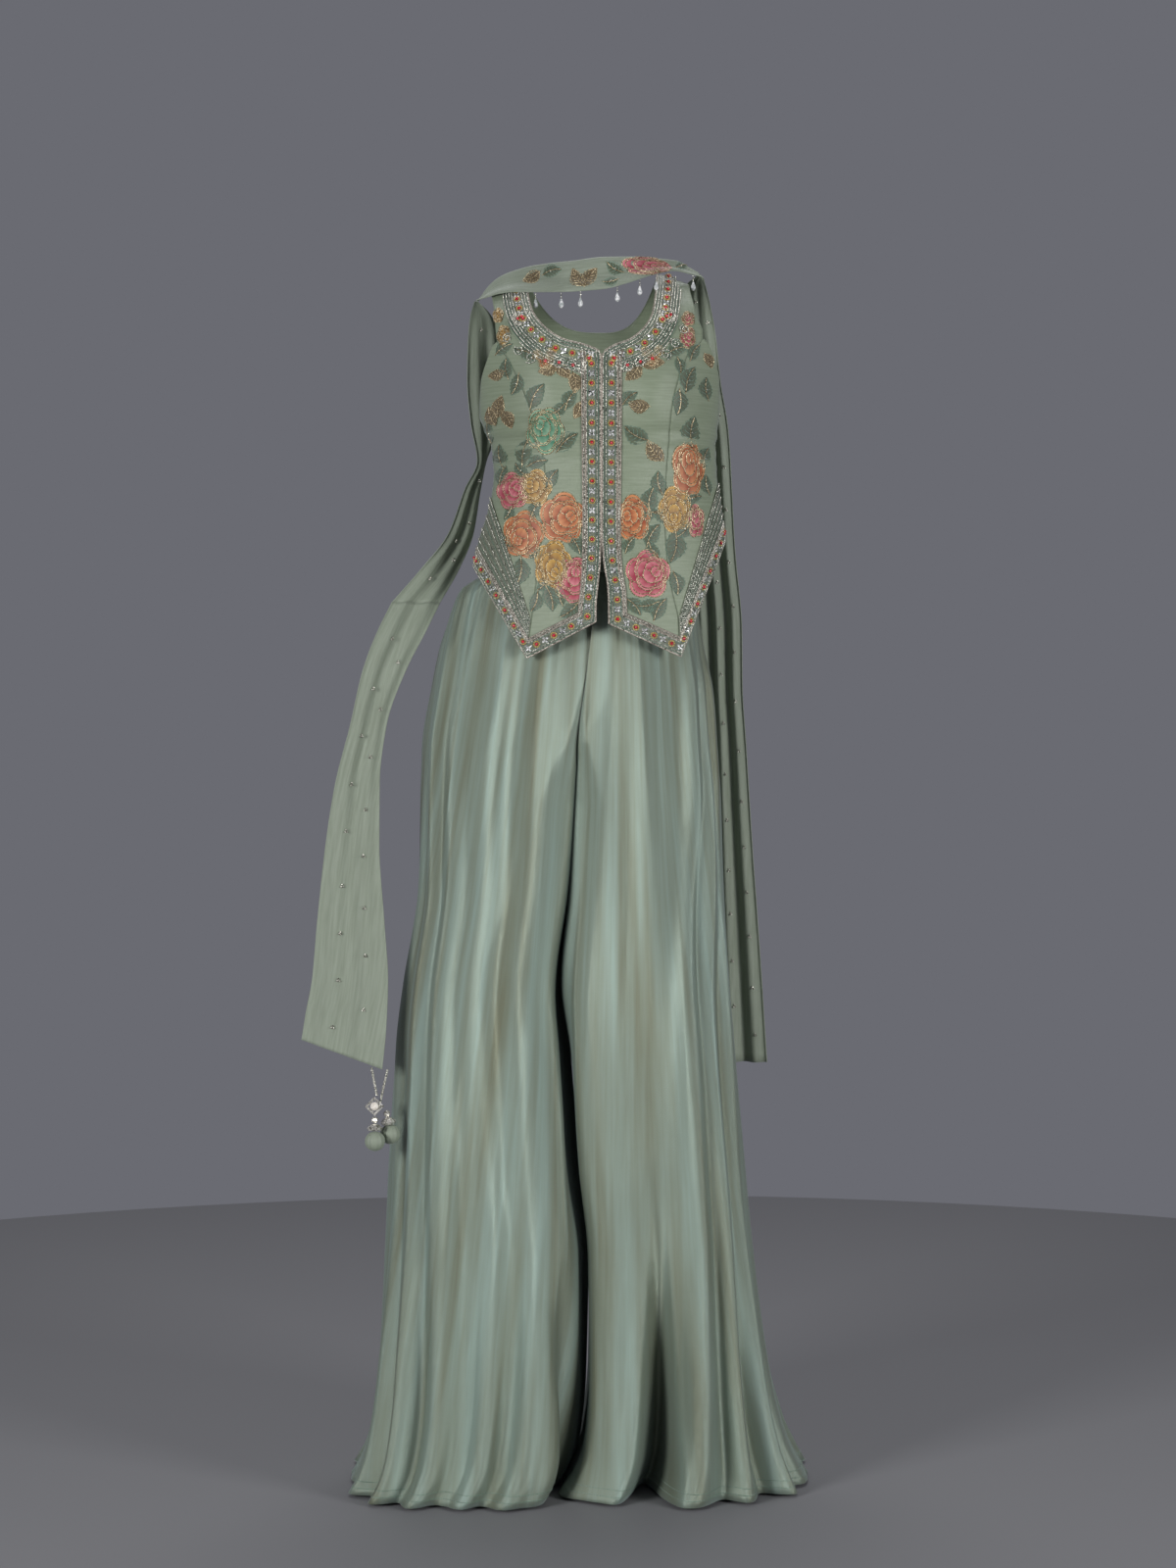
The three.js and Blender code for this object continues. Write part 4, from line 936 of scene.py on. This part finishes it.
for side in side_name:
    mine = (across < 0) == (side < 0)
    edge_x, edge_height = back_edge[side]
    spread = np.abs(across)
    low, high = edge_height(0.0), edge_height(float(last))
    far = np.where(rows <= UNDERARM_ROW, half_width(side, edge_height(rows)), edge_x(rows))
    shoulder = BACK_NECK["x"][side]
    top_x = np.where(spread < BACK_STRAP, shoulder * spread / BACK_STRAP,
                     mix(shoulder, edge_x(float(last)), (spread - BACK_STRAP) / (1 - BACK_STRAP)))
    scoop = mix(BACK_NECK["centre"], crest_height(shoulder), (spread / BACK_STRAP) ** 3)
    top_height = np.where(spread < BACK_STRAP, scoop, crest_height(top_x))
    rise = (edge_height(rows) - low) / (high - low)
    level = mix(rows / last, rise, spread ** 3)
    bulge = far - mix(edge_x(0.0), edge_x(float(last)), level)
    x = mix(edge_x(0.0) * spread, top_x, level) + bulge * spread
    height = mix(mix(BACK_HEM, low, spread ** 2), top_height, level)
    x_grid[mine] = (np.where(across < 0, -1, 1) * x)[mine]
    height_grid[mine] = height[mine]
point, normal = vest_skin(x_grid, height_grid, back=True)
vest_back = cloth("vest_silk_back", point, normal, VEST_CLOTH, silk_satin,
                  np.stack([x_grid, height_grid], -1) * MM)
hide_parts("vest_back")

# Palazzo trousers: two front and two back leg panels of shot organza, gathered into a waistband and
# flaring to wide hems. The stiff sheer tissue creases sharply; its soft upright bands of shine are partly
# painted sheen in its colour.
LEG_ROUNDNESS = 2.5
TROUSER_CLOTH = 0.8
FORK = dict(top=1000, bottom=835, corner=42, hem_corner=62, middle_top=1060, middle_low=560)
BACK_FLUTES = dict(count=6, hem_depth=13, top_height=1000)
leg_sections = {
    -1: table(
        "height outer inner front back",
        (1108, 142, 3, 88, 93.4), (1099, 158, 4, 86, 94.4), (1090, 171, 5, 85, 96),
        (1068, 181, 8, 87, 102), (1044, 189, 11, 92, 110), (1020, 197, 14, 99, 115),
        (972, 207, 20, 109, 121), (900, 219, 31, 119, 121), (870, 220, 34, 122, 120),
        (845, 221, 36, 124, 119), (731, 223, 45, 130, 118), (611, 240, 58, 137, 122),
        (539, 250, 51, 142, 126), (395, 260, 38, 149, 132), (290, 265, 27, 153, 137),
        (127, 274, 30, 155, 146), (54, 285, 37, 156, 153), (24, 294, 46, 158, 158),
        (0, 307, 61, 160, 163)),
    1: table(
        "height outer inner front back",
        (1108, 114, -3, 88, 93.4), (1099, 115, -4, 88, 94.4), (1090, 116, -5, 90, 96),
        (1068, 118, -8, 93, 102), (1044, 121, -11, 98, 110), (1020, 125, -14, 103, 115),
        (972, 134, -20, 111, 121), (900, 141, -30.9, 119, 121), (870, 144, -33.7, 122, 120),
        (845, 146, -35.2, 124, 119), (731, 150, -42, 129, 118), (611, 157, -53, 132, 122),
        (539, 163, -46, 133, 126), (395, 176, -32, 133, 132), (290, 186, -22, 130, 137),
        (127, 208, -24, 127, 146), (54, 226, -30, 125, 153), (24, 240, -40, 125, 158),
        (0, 254, -56, 127, 163)),
}
front_folds = {
    -1: table(
        "top_place hem_place half top_depth hem_depth start",
        (0.14, 0.13, 0.055, 5, 16, 1090), (0.22, 0.205, 0.040, -3, -9, 1000),
        (0.31, 0.275, 0.055, 5, 15, 1090), (0.42, 0.355, 0.040, -4, -9, 1000),
        (0.545, 0.435, 0.055, 6, 15, 1090), (0.63, 0.52, 0.045, -5, -12, 1000),
        (0.72, 0.60, 0.055, 6, 15, 1090), (0.80, 0.69, 0.045, -5, -12, 1000),
        (0.87, 0.78, 0.055, 6, 14, 1090), (0.93, 0.88, 0.045, -4, -10, 800),
        (0.17, 0.02, 0.060, 0, 12, 430), (0.14, -0.16, 0.070, 0, -40, 410)),
    1: table(
        "top_place hem_place half top_depth hem_depth start",
        (0.02, 0.00, 0.060, 0, 9, 700), (0.16, 0.10, 0.055, 0, 8, 600),
        (0.26, 0.17, 0.050, 0, 22, 480), (0.30, 0.26, 0.048, 0, -80, 430),
        (0.60, 0.395, 0.060, 5, 40, 1090), (0.68, 0.47, 0.036, -5, -8, 1050),
        (0.78, 0.54, 0.045, 6, 24, 1090), (0.84, 0.63, 0.040, -5, -14, 1050),
        (0.90, 0.73, 0.045, 6, 16, 1090), (0.95, 0.84, 0.040, -4, -10, 900)),
}
leg_curve = {side: {name: smooth(rows["height"], rows[name]) for name in ("outer", "inner", "front", "back")}
             for side, rows in leg_sections.items()}


# The legs' inner sides hang close together and bow the same way, so no light shows between them.
SLOT_BOW = 12.0
BOW_REACH = 40.0
# The folds fade out towards the seams, and the inner side keeps its own columns up to the corner.
SEAM_FADE = dict(inner=24, outer=30)
KNEE_LEAST = 8.0
# The rounded outside, as a share of its width and its depth together.
OUTSIDE_LENGTH = 0.8
# Creases and threads fan out in straight lines from the waist, where the panel's top edge is.
PANEL_TOP = 1108.0
FAN_WIDTH = 230.0


def leg_row(side, is_front, height, columns):
    """One level of a leg panel, from its inner edge to the outseam: flat inner side, rounded corner,
    straight stretch and round outside, with shares across (0 at the corner) and places in mm."""
    shape = leg_curve[side]
    seam_x, outer = shape["inner"](height), shape["outer"](height)
    depth = shape["front" if is_front else "back"](height)
    down = np.clip((FORK["top"] - height) / (FORK["top"] - FORK["bottom"]), 0, 1)
    recess = depth * (1 - math.sqrt(1 - down * down))
    widest = mix(FORK["hem_corner"], FORK["corner"], ramp(0, 500, height))
    corner = widest * (1 - math.exp(-recess / widest))
    middle = mix((seam_x + outer) / 2, seam_x, ramp(FORK["middle_low"], FORK["middle_top"], height))
    straight = max(middle - seam_x, corner)
    reach = outer - seam_x - straight
    inner_side = recess - corner
    arc = math.pi / 2 * corner
    flat = straight - corner
    curved = (reach + depth) * OUTSIDE_LENGTH
    length = inner_side + arc + flat + curved

    def point(along):
        turn = (along - inner_side) / max(corner, 1e-6)
        bend = np.clip((along - inner_side - arc - flat) / curved, 0, 1) * math.pi / 2
        x = np.where(along < inner_side, seam_x, seam_x + corner * (1 - np.cos(turn)))
        y = np.where(along < inner_side, depth - recess + along, depth - corner * (1 - np.sin(turn)))
        beyond = along >= inner_side + arc
        x = np.where(beyond, seam_x + corner + along - inner_side - arc, x)
        y = np.where(beyond, depth, y)
        outside = along >= inner_side + arc + flat
        x = np.where(outside, seam_x + straight + reach * np.sin(bend) ** (2 / LEG_ROUNDNESS), x)
        y = np.where(outside, depth * np.abs(np.cos(bend)) ** (2 / LEG_ROUNDNESS), y)
        return x, y

    corner_at = inner_side + arc / 2
    knee = max(corner_at, KNEE_LEAST)
    inner_columns = columns // 4
    along = np.concatenate([np.linspace(0, knee, inner_columns, endpoint=False),
                            np.linspace(knee, length, columns - inner_columns)])
    x, y = point(along)
    ahead_x, ahead_y = point(np.minimum(along + 1, length))
    behind_x, behind_y = point(np.maximum(along - 1, 0))
    size = np.hypot(ahead_x - behind_x, ahead_y - behind_y)
    tangent_x, tangent_y = (ahead_x - behind_x) / size, (ahead_y - behind_y) / size
    across = (along - corner_at) / (length - corner_at)
    fade = ramp(0, SEAM_FADE["inner"], along) * ramp(0, SEAM_FADE["outer"], length - along)
    inward = x - seam_x
    fan_in, fan_out = (mix(shape[name](0.0), shape[name](PANEL_TOP), height / PANEL_TOP)
                       for name in ("inner", "outer"))
    place_across = FAN_WIDTH * (x - fan_in) / (fan_out - fan_in)
    place_across = place_across + np.where(inward > middle - seam_x, 1, -1) * (depth - y)
    bow = SLOT_BOW * np.cos(math.pi / 2 * np.clip(y / depth, 0, 1)) ** 2
    bow = bow * np.clip(1 - inward / BOW_REACH, 0, 1)
    return x, y, tangent_x, tangent_y, across, fade, place_across, bow


def fold_depth(side, is_front, across, height):
    """How far the standing folds push the cloth out, in mm."""
    if not is_front:
        top = BACK_FLUTES["top_height"]
        grown = ramp(0, 1, 1 - height / top) * ramp(-0.05, 0.15, across)
        return BACK_FLUTES["hem_depth"] * grown * np.cos(2 * math.pi * BACK_FLUTES["count"] * across)
    total = np.zeros_like(across)
    folds = front_folds[side]
    for i in range(len(folds["start"])):
        fold = {name: column[i] for name, column in folds.items()}
        if height < fold["start"]:
            down = 1 - height / fold["start"]
            middle = mix(fold["top_place"], fold["hem_place"], down)
            depth = mix(fold["top_depth"], fold["hem_depth"], down ** 1.5) * ramp(0, 0.12, down)
            total += depth * bell((across - middle) / fold["half"])
    return total


CREASE_COUNT = 26
CREASE_DEPTH = 0.0095
SHARP_SHARE = 0.45
CREASE_FADE = (1095, 1000)
GATHERS = dict(height=1080, tall=60, spacing=4.2, sway=1.7, sway_height=90)
crease_seed = np.random.default_rng(11)
creases = {side: {
    "spacing": crease_seed.uniform(70, 240, CREASE_COUNT),
    "lean": crease_seed.uniform(-0.10, 0.10, CREASE_COUNT),
    "phase": crease_seed.uniform(0, 1, CREASE_COUNT),
    "middle": crease_seed.uniform(40, 1060, CREASE_COUNT),
    "reach": crease_seed.uniform(120, 380, CREASE_COUNT)} for side in side_name}


def fine_creases(side, place_across, height):
    """Gathers under the waistband, then creases that start and die out, nearly half of them sharp."""
    sway = GATHERS["sway"] * np.sin(height / GATHERS["sway_height"])
    gathers = bell((height - GATHERS["height"]) / GATHERS["tall"])
    gathers = gathers * np.sin(place_across / GATHERS["spacing"] + sway)
    total = np.zeros_like(place_across)
    for number, (spacing, lean, phase, middle, reach) in enumerate(zip(*creases[side].values())):
        turn = (place_across + lean * (height - middle)) / spacing + phase
        rounded = np.cos(2 * math.pi * turn)
        sharp = 1 - 2 * np.abs(np.sin(math.pi * turn)) ** 0.8
        form = sharp if number < SHARP_SHARE * CREASE_COUNT else rounded
        total += CREASE_DEPTH * spacing * form * bell((height - middle) / reach)
    return gathers + total * ramp(*CREASE_FADE, height)


# Shot organza: broad upright bands from olive to aqua, with a metallic sheen. The bands are partly the two
# thread colours and partly painted sheen: the aqua bands stand for the bluish shine of the shot cloth. The
# weave is drawn at 1.2 mm, coarser than the real 0.2 mm.
shot_organza = woven("shot_organza", "#727662", "#8ea096", streak=(40, 900), thread=1.2, roughness=0.36,
                     sheen=0.45, sheen_colour="#b9cccb", bump=0.5, metallic=0.4)

# Two rows of stitches hold up the hem. The standing folds of the fronts are softer above the hem.
HEM_STITCHES = (5.0, 15.0)
STITCH_LIFT = 0.2
STITCH_RADIUS = 0.4
SOFT_FOLDS = dict(least=0.45, high=420, low=30)
leg_grid = {"front": (210, 140), "back": (120, 110)}
for side, name in side_name.items():
    for is_front in (True, False):
        part = "front" if is_front else "back"
        columns, levels = leg_grid[part]
        grid, flat_places = [], []
        for height in np.linspace(PANEL_TOP, 0, levels):
            row = leg_row(side, is_front, height, columns)
            x, y, tangent_x, tangent_y, across, fade, place_across, bow = row
            lowered = ramp(SOFT_FOLDS["high"], SOFT_FOLDS["low"], height)
            soft = mix(SOFT_FOLDS["least"], 1.0, lowered) if is_front else 1.0
            push = fold_depth(side, is_front, across, height) * fade * soft
            push = push + fine_creases(side, place_across, height) * fade
            out = y + tangent_x * push + SEAM_GAP / 2
            px = side * (x - tangent_y * push + SEAM_GAP / 2) + bow
            grid.append(place(px, -out if is_front else out, height))
            flat_places.append(np.stack([side * place_across * MM, np.full(columns, height * MM)], -1))
        grid = np.array(grid)
        normals = grid_normals(grid, side * (-1 if is_front else 1))
        piece = cloth(f"palazzo_organza_{part}_{name}", grid, normals, TROUSER_CLOTH, shot_organza,
                      np.array(flat_places))
        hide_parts(f"palazzo_{part}_{name}")
        stitch_rows = [round(above / PANEL_TOP * (levels - 1)) for above in HEM_STITCHES]
        hem_lines = [(grid[-1 - level] + normals[-1 - level] * STITCH_LIFT * MM, normals[-1 - level])
                     for level in stitch_rows]
        cords(f"palazzo_hem_stitches_{part}_{name}", hem_lines, STITCH_RADIUS, green_thread,
              sides=4)

# Waistband: a straight band of the same organza, folded double and hidden under the vest. The gathered
# tops of the four leg panels are sewn into its lower edge.
WAISTBAND = dict(low=1108.3, high=1140, cloth=2.0, left=112, right=128, front=90, back=93.8, mean=115)
WAIST_POWER = 0.85
WAIST_GRID = (7, 96)
turn = np.linspace(0, 2 * math.pi, WAIST_GRID[1], endpoint=False)
half = np.where(np.cos(turn) > 0, WAISTBAND["left"], WAISTBAND["right"])
deep = np.where(np.sin(turn) > 0, WAISTBAND["back"], WAISTBAND["front"])
heights = np.linspace(WAISTBAND["high"], WAISTBAND["low"], WAIST_GRID[0])[:, None]
band = place(half * power(np.cos(turn), WAIST_POWER), deep * power(np.sin(turn), WAIST_POWER), heights)
ahead = np.roll(band, -1, 1) - np.roll(band, 1, 1)
normals = unit(np.stack([ahead[..., 1], -ahead[..., 0], 0 * ahead[..., 0]], -1))
lengths = np.broadcast_to(turn * WAISTBAND["mean"] * MM, WAIST_GRID)
waistband = cloth("palazzo_waistband_cloth", band, normals, WAISTBAND["cloth"], shot_organza,
                  np.stack([lengths, np.broadcast_to(heights * MM, WAIST_GRID)], -1), wrap=True)
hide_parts("palazzo_waistband")

# Stole: one narrow length of sheer georgette that passes in front of the neck. It falls behind the
# right shoulder, over the forearm to a tail in front, and behind the left shoulder to a second tail.
STOLE_CLOTH = 0.7
neck_stretch = table(
    "at ax ay ah bx by bh pleat",
    (0, -150, 34, 1446, -152, -8, 1441, 1), (1, -137, 26, 1463, -137, -18, 1444, 1.5),
    (2, -124, 14, 1472, -124, -24, 1447, 2), (3, -110, 4, 1477, -111, -31, 1448, 2),
    (4, -81, -26, 1481, -81, -50, 1446, 2), (5, -40, -58, 1482, -40, -80, 1443, 2),
    (6, 0, -66, 1486, 0, -88, 1445, 2), (7, 31, -62, 1487, 31, -82, 1453, 2),
    (8, 62, -34, 1489, 62, -56, 1466, 2), (9, 90, -2, 1490, 90, -21, 1475, 1.5),
    (10, 106, 12, 1484, 108, -8, 1473, 1), (11, 118, 18, 1478, 123, -2, 1470, 1))
right_fall = table(
    "at ax ay ah bx by bh pleat",
    (0, -153.6, -8, 1440, -151.6, 34, 1444.6, 1), (1, -160, 22, 1425, -136, 54, 1430, 2),
    (2, -164, 52, 1398, -124, 78, 1402, 3), (3, -166, 74, 1350, -118, 102, 1352, 4),
    (4, -162, 78, 1300, -124, 104, 1300, 4), (5, -153, 62, 1251, -142, 84, 1253, 3),
    (6, -168, 40, 1214, -149, 62, 1215, 3), (7, -187, 5, 1158, -157, 30, 1159, 3),
    (8, -218, -25, 1115, -173, 5, 1116, 3), (9, -253, -50, 1073, -196, -20, 1073, 3))
right_tail = table(
    "at ax ay ah bx by bh pleat",
    (0, -253, -50, 1073, -196, -20, 1073, 3), (1, -270, -62, 1037, -213, -36, 1037, 3),
    (2, -287, -68, 991, -236, -48, 991, 3), (3, -302, -72, 925, -259, -58, 925, 3),
    (4, -320, -76, 854, -267, -66, 854, 3), (5, -331, -80, 784, -267, -76, 783, 3),
    (6, -341, -88, 690, -260, -94, 690, 3), (7, -347, -94, 620, -255, -106, 620, 3),
    (8, -354, -98, 582, -257, -114, 562, 3), (9, -359, -102, 549, -261, -124, 516, 3))
left_tail = table(
    "at ax ay ah bx by bh pleat",
    (0, 119.4, 19.5, 1477.2, 124.6, -1, 1469, 1), (1, 98, 56, 1456, 132, 42, 1452, 2),
    (2, 94, 92, 1416, 142, 80, 1412, 4), (3, 98, 112, 1350, 150, 100, 1350, 5),
    (4, 104, 120, 1291, 160, 110, 1291, 6), (5, 112, 126, 1144, 169, 118, 1144, 6),
    (6, 118, 138, 1046, 178, 124, 1046, 6), (7, 122, 144, 972, 179, 128, 972, 6),
    (8, 124, 146, 897, 184, 132, 897, 6), (9, 124, 148, 760, 193, 136, 760, 6),
    (10, 124, 152, 640, 202, 140, 640, 6), (11, 126, 156, 493, 212, 144, 493, 6))


def band_grid(rows, levels, columns, pleats):
    """A band of cloth between two edges, with soft pleats along it: points, normals and flat places."""
    at = np.linspace(0, rows["at"][-1], levels)[:, None]
    edge = {name: smooth(rows["at"], rows[name])(at) for name in rows if name != "at"}
    u = np.linspace(0, 1, columns)[None, :]
    base = place(mix(edge["ax"], edge["bx"], u), mix(edge["ay"], edge["by"], u),
                 mix(edge["ah"], edge["bh"], u))
    wave = np.sin(math.pi * np.clip(u, 0, 1)) ** 0.5 * np.cos(2 * math.pi * pleats * u)
    points = base + grid_normals(base, 1) * (edge["pleat"] * wave)[..., None] * MM
    middle = points[:, columns // 2]
    width = np.linalg.norm(points[:, -1] - points[:, 0], axis=1)
    lengths = np.broadcast_to(lengths_along(middle)[:, None], (levels, columns))
    flat_places = np.stack([u * width[:, None], lengths], -1)
    return points, grid_normals(points, 1), flat_places


# Georgette: crimped yarns give a matt, dry crepe grain, drawn at 1 mm, coarser than the real 0.3 mm. The
# real cloth is a little sheer; it is drawn opaque.
georgette = woven("sage_georgette", "#7b8474", "#899283", streak=(3, 60), thread=1.0, roughness=0.62,
                  sheen=0.4, sheen_colour="#c3cec4", bump=0.4)

stole_stretches = {}
for node, rows, levels, columns, pleats in (("stole_neck", neck_stretch, 90, 34, 1),
                                            ("stole_fall_right", right_fall, 90, 40, 2),
                                            ("stole_tail_right", right_tail, 100, 50, 2),
                                            ("stole_tail_left", left_tail, 140, 60, 3)):
    points, normals, flat_places = band_grid(rows, levels, columns, pleats)
    stole_stretches[node] = (points, normals)
    piece = cloth(f"{node}_georgette", points + normals * STOLE_CLOTH / 2 * MM, normals, STOLE_CLOTH,
                  georgette, flat_places)
    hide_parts(node)


# Stole embroidery: one rose, seven leaves and a few beads on the stretch at the neck, as on the vest,
# and small sprigs of three silver beads down the fall and both tails.
neck_points, neck_normals = stole_stretches["stole_neck"]
neck_middle = neck_points[:, neck_points.shape[1] // 2, 0] / MM
top_edge = neck_points[:, 0, 2] / MM + SHOULDER_HEIGHT
low_edge = neck_points[:, -1, 2] / MM + SHOULDER_HEIGHT


def neck_skin(x, height):
    """Points and normals on the stole's neck stretch, kept inside its two edges."""
    x, height = np.broadcast_arrays(np.asarray(x, float), np.asarray(height, float))
    level = np.interp(x, neck_middle, np.arange(len(neck_middle)))
    row = np.clip(level.astype(int), 0, len(neck_middle) - 2)
    top, bottom = np.interp(x, neck_middle, top_edge), np.interp(x, neck_middle, low_edge)
    share = np.clip((top - height) / (top - bottom), 0.02, 0.98)
    column = share * (neck_points.shape[1] - 1)
    left = np.clip(column.astype(int), 0, neck_points.shape[1] - 2)
    onward, part = (level - row)[..., None], (column - left)[..., None]

    def at(grid):
        near = mix(grid[row, left], grid[row, left + 1], part)
        far = mix(grid[row + 1, left], grid[row + 1, left + 1], part)
        return mix(near, far, onward)

    return at(neck_points), at(neck_normals)


surface = neck_skin
add_rose(55, 1477, 23, 0.42, 0.4, 0)
neck_leaves = table(
    "x height length turn palette",
    (-27, 1461, 17, 120, 1), (-12, 1461, 17, 60, 1), (16, 1474, 15, 150, 0), (-58, 1470, 15, 10, 0),
    (-84, 1468, 15, 200, 1), (98, 1483, 11, 20, 0), (10, 1456, 12, 190, 0))
for row in zip(*neck_leaves.values()):
    add_leaf(*row)
stitch_on("stole")

SPRIG = dict(bead=1.3, apart=1.6, lift=1.8, step=0.030, first=0.05, last=0.02)
sprig_beads = []
for node, shares in (("stole_tail_right", (0.36, 0.72)), ("stole_tail_left", (0.55, 0.86)),
                     ("stole_fall_right", (0.40, 0.70))):
    points, normals = stole_stretches[node]
    middle = points[:, points.shape[1] // 2]
    lengths = lengths_along(middle)
    sprig_lengths = np.arange(SPRIG["first"], lengths[-1] - SPRIG["last"], SPRIG["step"])
    for number, length in enumerate(sprig_lengths):
        row = int(np.searchsorted(lengths, length))
        column = int(shares[number % 2] * (points.shape[1] - 1))
        centre, normal = points[row, column], normals[row, column]
        normal = normal if normal[1] < 0 else -normal
        across = unit(points[row, column + 1] - points[row, column])
        down = np.cross(normal, across)
        for angle in (90, 210, 330):
            turn = math.radians(angle)
            around = across * math.cos(turn) + down * math.sin(turn)
            sprig_beads.append(centre + normal * SPRIG["lift"] * MM + around * SPRIG["apart"] * MM)
beads("stole_sprig_beads", sprig_beads, SPRIG["bead"], silver_beads)


# Drops and tassels: cut glass drops on bead loops along the neck edge; two wound cloth balls under
# cast caps, on strings of seed beads, one with a diamond frame round a pearl.
def turned(name, bottom, axis, profile, sides, material, flat=False, ripple=(0, 0.0)):
    """A turned form along an axis: profile holds lengths and radii in mm, ripple lobes round it."""
    axis = unit(np.asarray(axis, float))
    across = unit(np.cross(axis, (0.3, 1.0, 0.1)))
    beside = np.cross(axis, across)
    angle = np.linspace(0, 2 * math.pi, sides, endpoint=False)
    lobes = 1 + ripple[1] * np.cos(ripple[0] * angle)
    ring = across * np.cos(angle)[:, None] + beside * np.sin(angle)[:, None]
    points = [bottom + (axis * along + ring * (radius * lobes)[:, None]) * MM
              for along, radius in profile]
    count = len(points)
    number = np.arange(count * sides).reshape(count, sides)
    beside = np.roll(number, -1, 1)
    faces = np.stack([number[:-1], beside[:-1], beside[1:], number[1:]], -1).reshape(-1, 4).tolist()
    faces += [number[0][::-1].tolist(), number[-1].tolist()]
    return show(name, np.concatenate(points), faces, material, flat=flat)


# Cut glass with a hard bright coat and a white mottle that is painted glint, pearl shell with a soft coat,
# and antique cast silver mottled at random from dark grey to near white.
cut_glass = mottled("cut_glass", "#aeb5b4", "#ffffff", grain=3.0, roughness=0.05, metallic=0.2,
                    Coat_Weight=1.0)
pearl_finish = mottled("shell_pearl", "#d8d0c4", "#f6f1e8", grain=4.0, roughness=0.18, Coat_Weight=0.7)
antique_silver = mottled("antique_silver", "#77756c", "#f2efe6", grain=1.6, roughness=0.26, metallic=0.6,
                         relief=0.5)


def node_corners(node):
    """The lowest and the highest corner of one solid's box, in metres."""
    low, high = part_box(node)
    return np.array(low), np.array(high)


# A drop's lengths and radii from its foot, and the small beads of the loop that it hangs on.
DROP_COUNT = 7
DROP_FACETS = 8
DROP_PROFILE = ((0, 0.8), (1.6, 2.5), (4.2, 3.2), (7, 2.2), (11, 0.8))
DROP_BEADS = dict(first=12, pitch=1.5, radius=0.75)
for number in range(1, DROP_COUNT + 1):
    node = f"stole_drop_{number}"
    low, high = node_corners(node)
    middle = (low + high) / 2
    foot = np.array([middle[0], middle[1], low[2]])
    drop = turned(f"{node}_glass", foot, (0, 0, 1), DROP_PROFILE, DROP_FACETS, cut_glass,
                  flat=True)
    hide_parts(node)
    heights = np.arange(DROP_BEADS["first"], (high - low)[2] / MM, DROP_BEADS["pitch"])
    string = [foot + np.array([0, 0, height]) * MM for height in heights]
    beads(f"{node}_string", string, DROP_BEADS["radius"], silver_beads)
for node in ("tassel_1_frame", "tassel_1_cap", "tassel_2_cap", "tassel_1_bead", "tassel_2_bead"):
    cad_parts[node].material_slots[0].material = antique_silver
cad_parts["tassel_1_pearl"].material_slots[0].material = pearl_finish
# The cloth strip wound round each ball shows as twelve low ribs.
TASSEL_BEADS = dict(pitch=2.6, radius=1.7)
WOUND_BALL = dict(levels=22, sides=48, ribs=12, relief=0.03, reach=0.97)
for number in (1, 2):
    low, high = node_corners(f"tassel_{number}_ball")
    radius = (high - low)[2] / 2 / MM
    sweep = np.linspace(-WOUND_BALL["reach"], WOUND_BALL["reach"], WOUND_BALL["levels"])
    profile = [(radius * a, radius * math.sqrt(1 - a * a)) for a in sweep]
    ball = turned(f"tassel_{number}_wound_ball", (low + high) / 2, (0, 0, 1), profile, WOUND_BALL["sides"],
                  georgette, ripple=(WOUND_BALL["ribs"], WOUND_BALL["relief"]))
    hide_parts(f"tassel_{number}_ball")
    low, high = node_corners(f"tassel_{number}_string")
    ends = (np.array([high[0], low[1], high[2]]), np.array([low[0], high[1], low[2]]))
    if number == 1:
        ends = (np.array([low[0], low[1], high[2]]), np.array([high[0], high[1], low[2]]))
    count = int((high - low)[2] / MM / TASSEL_BEADS["pitch"])
    string = [mix(*ends, share) for share in np.linspace(0.03, 0.97, count)]
    piece = beads(f"tassel_{number}_seed_beads", string, TASSEL_BEADS["radius"], silver_beads)
    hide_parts(f"tassel_{number}_string")
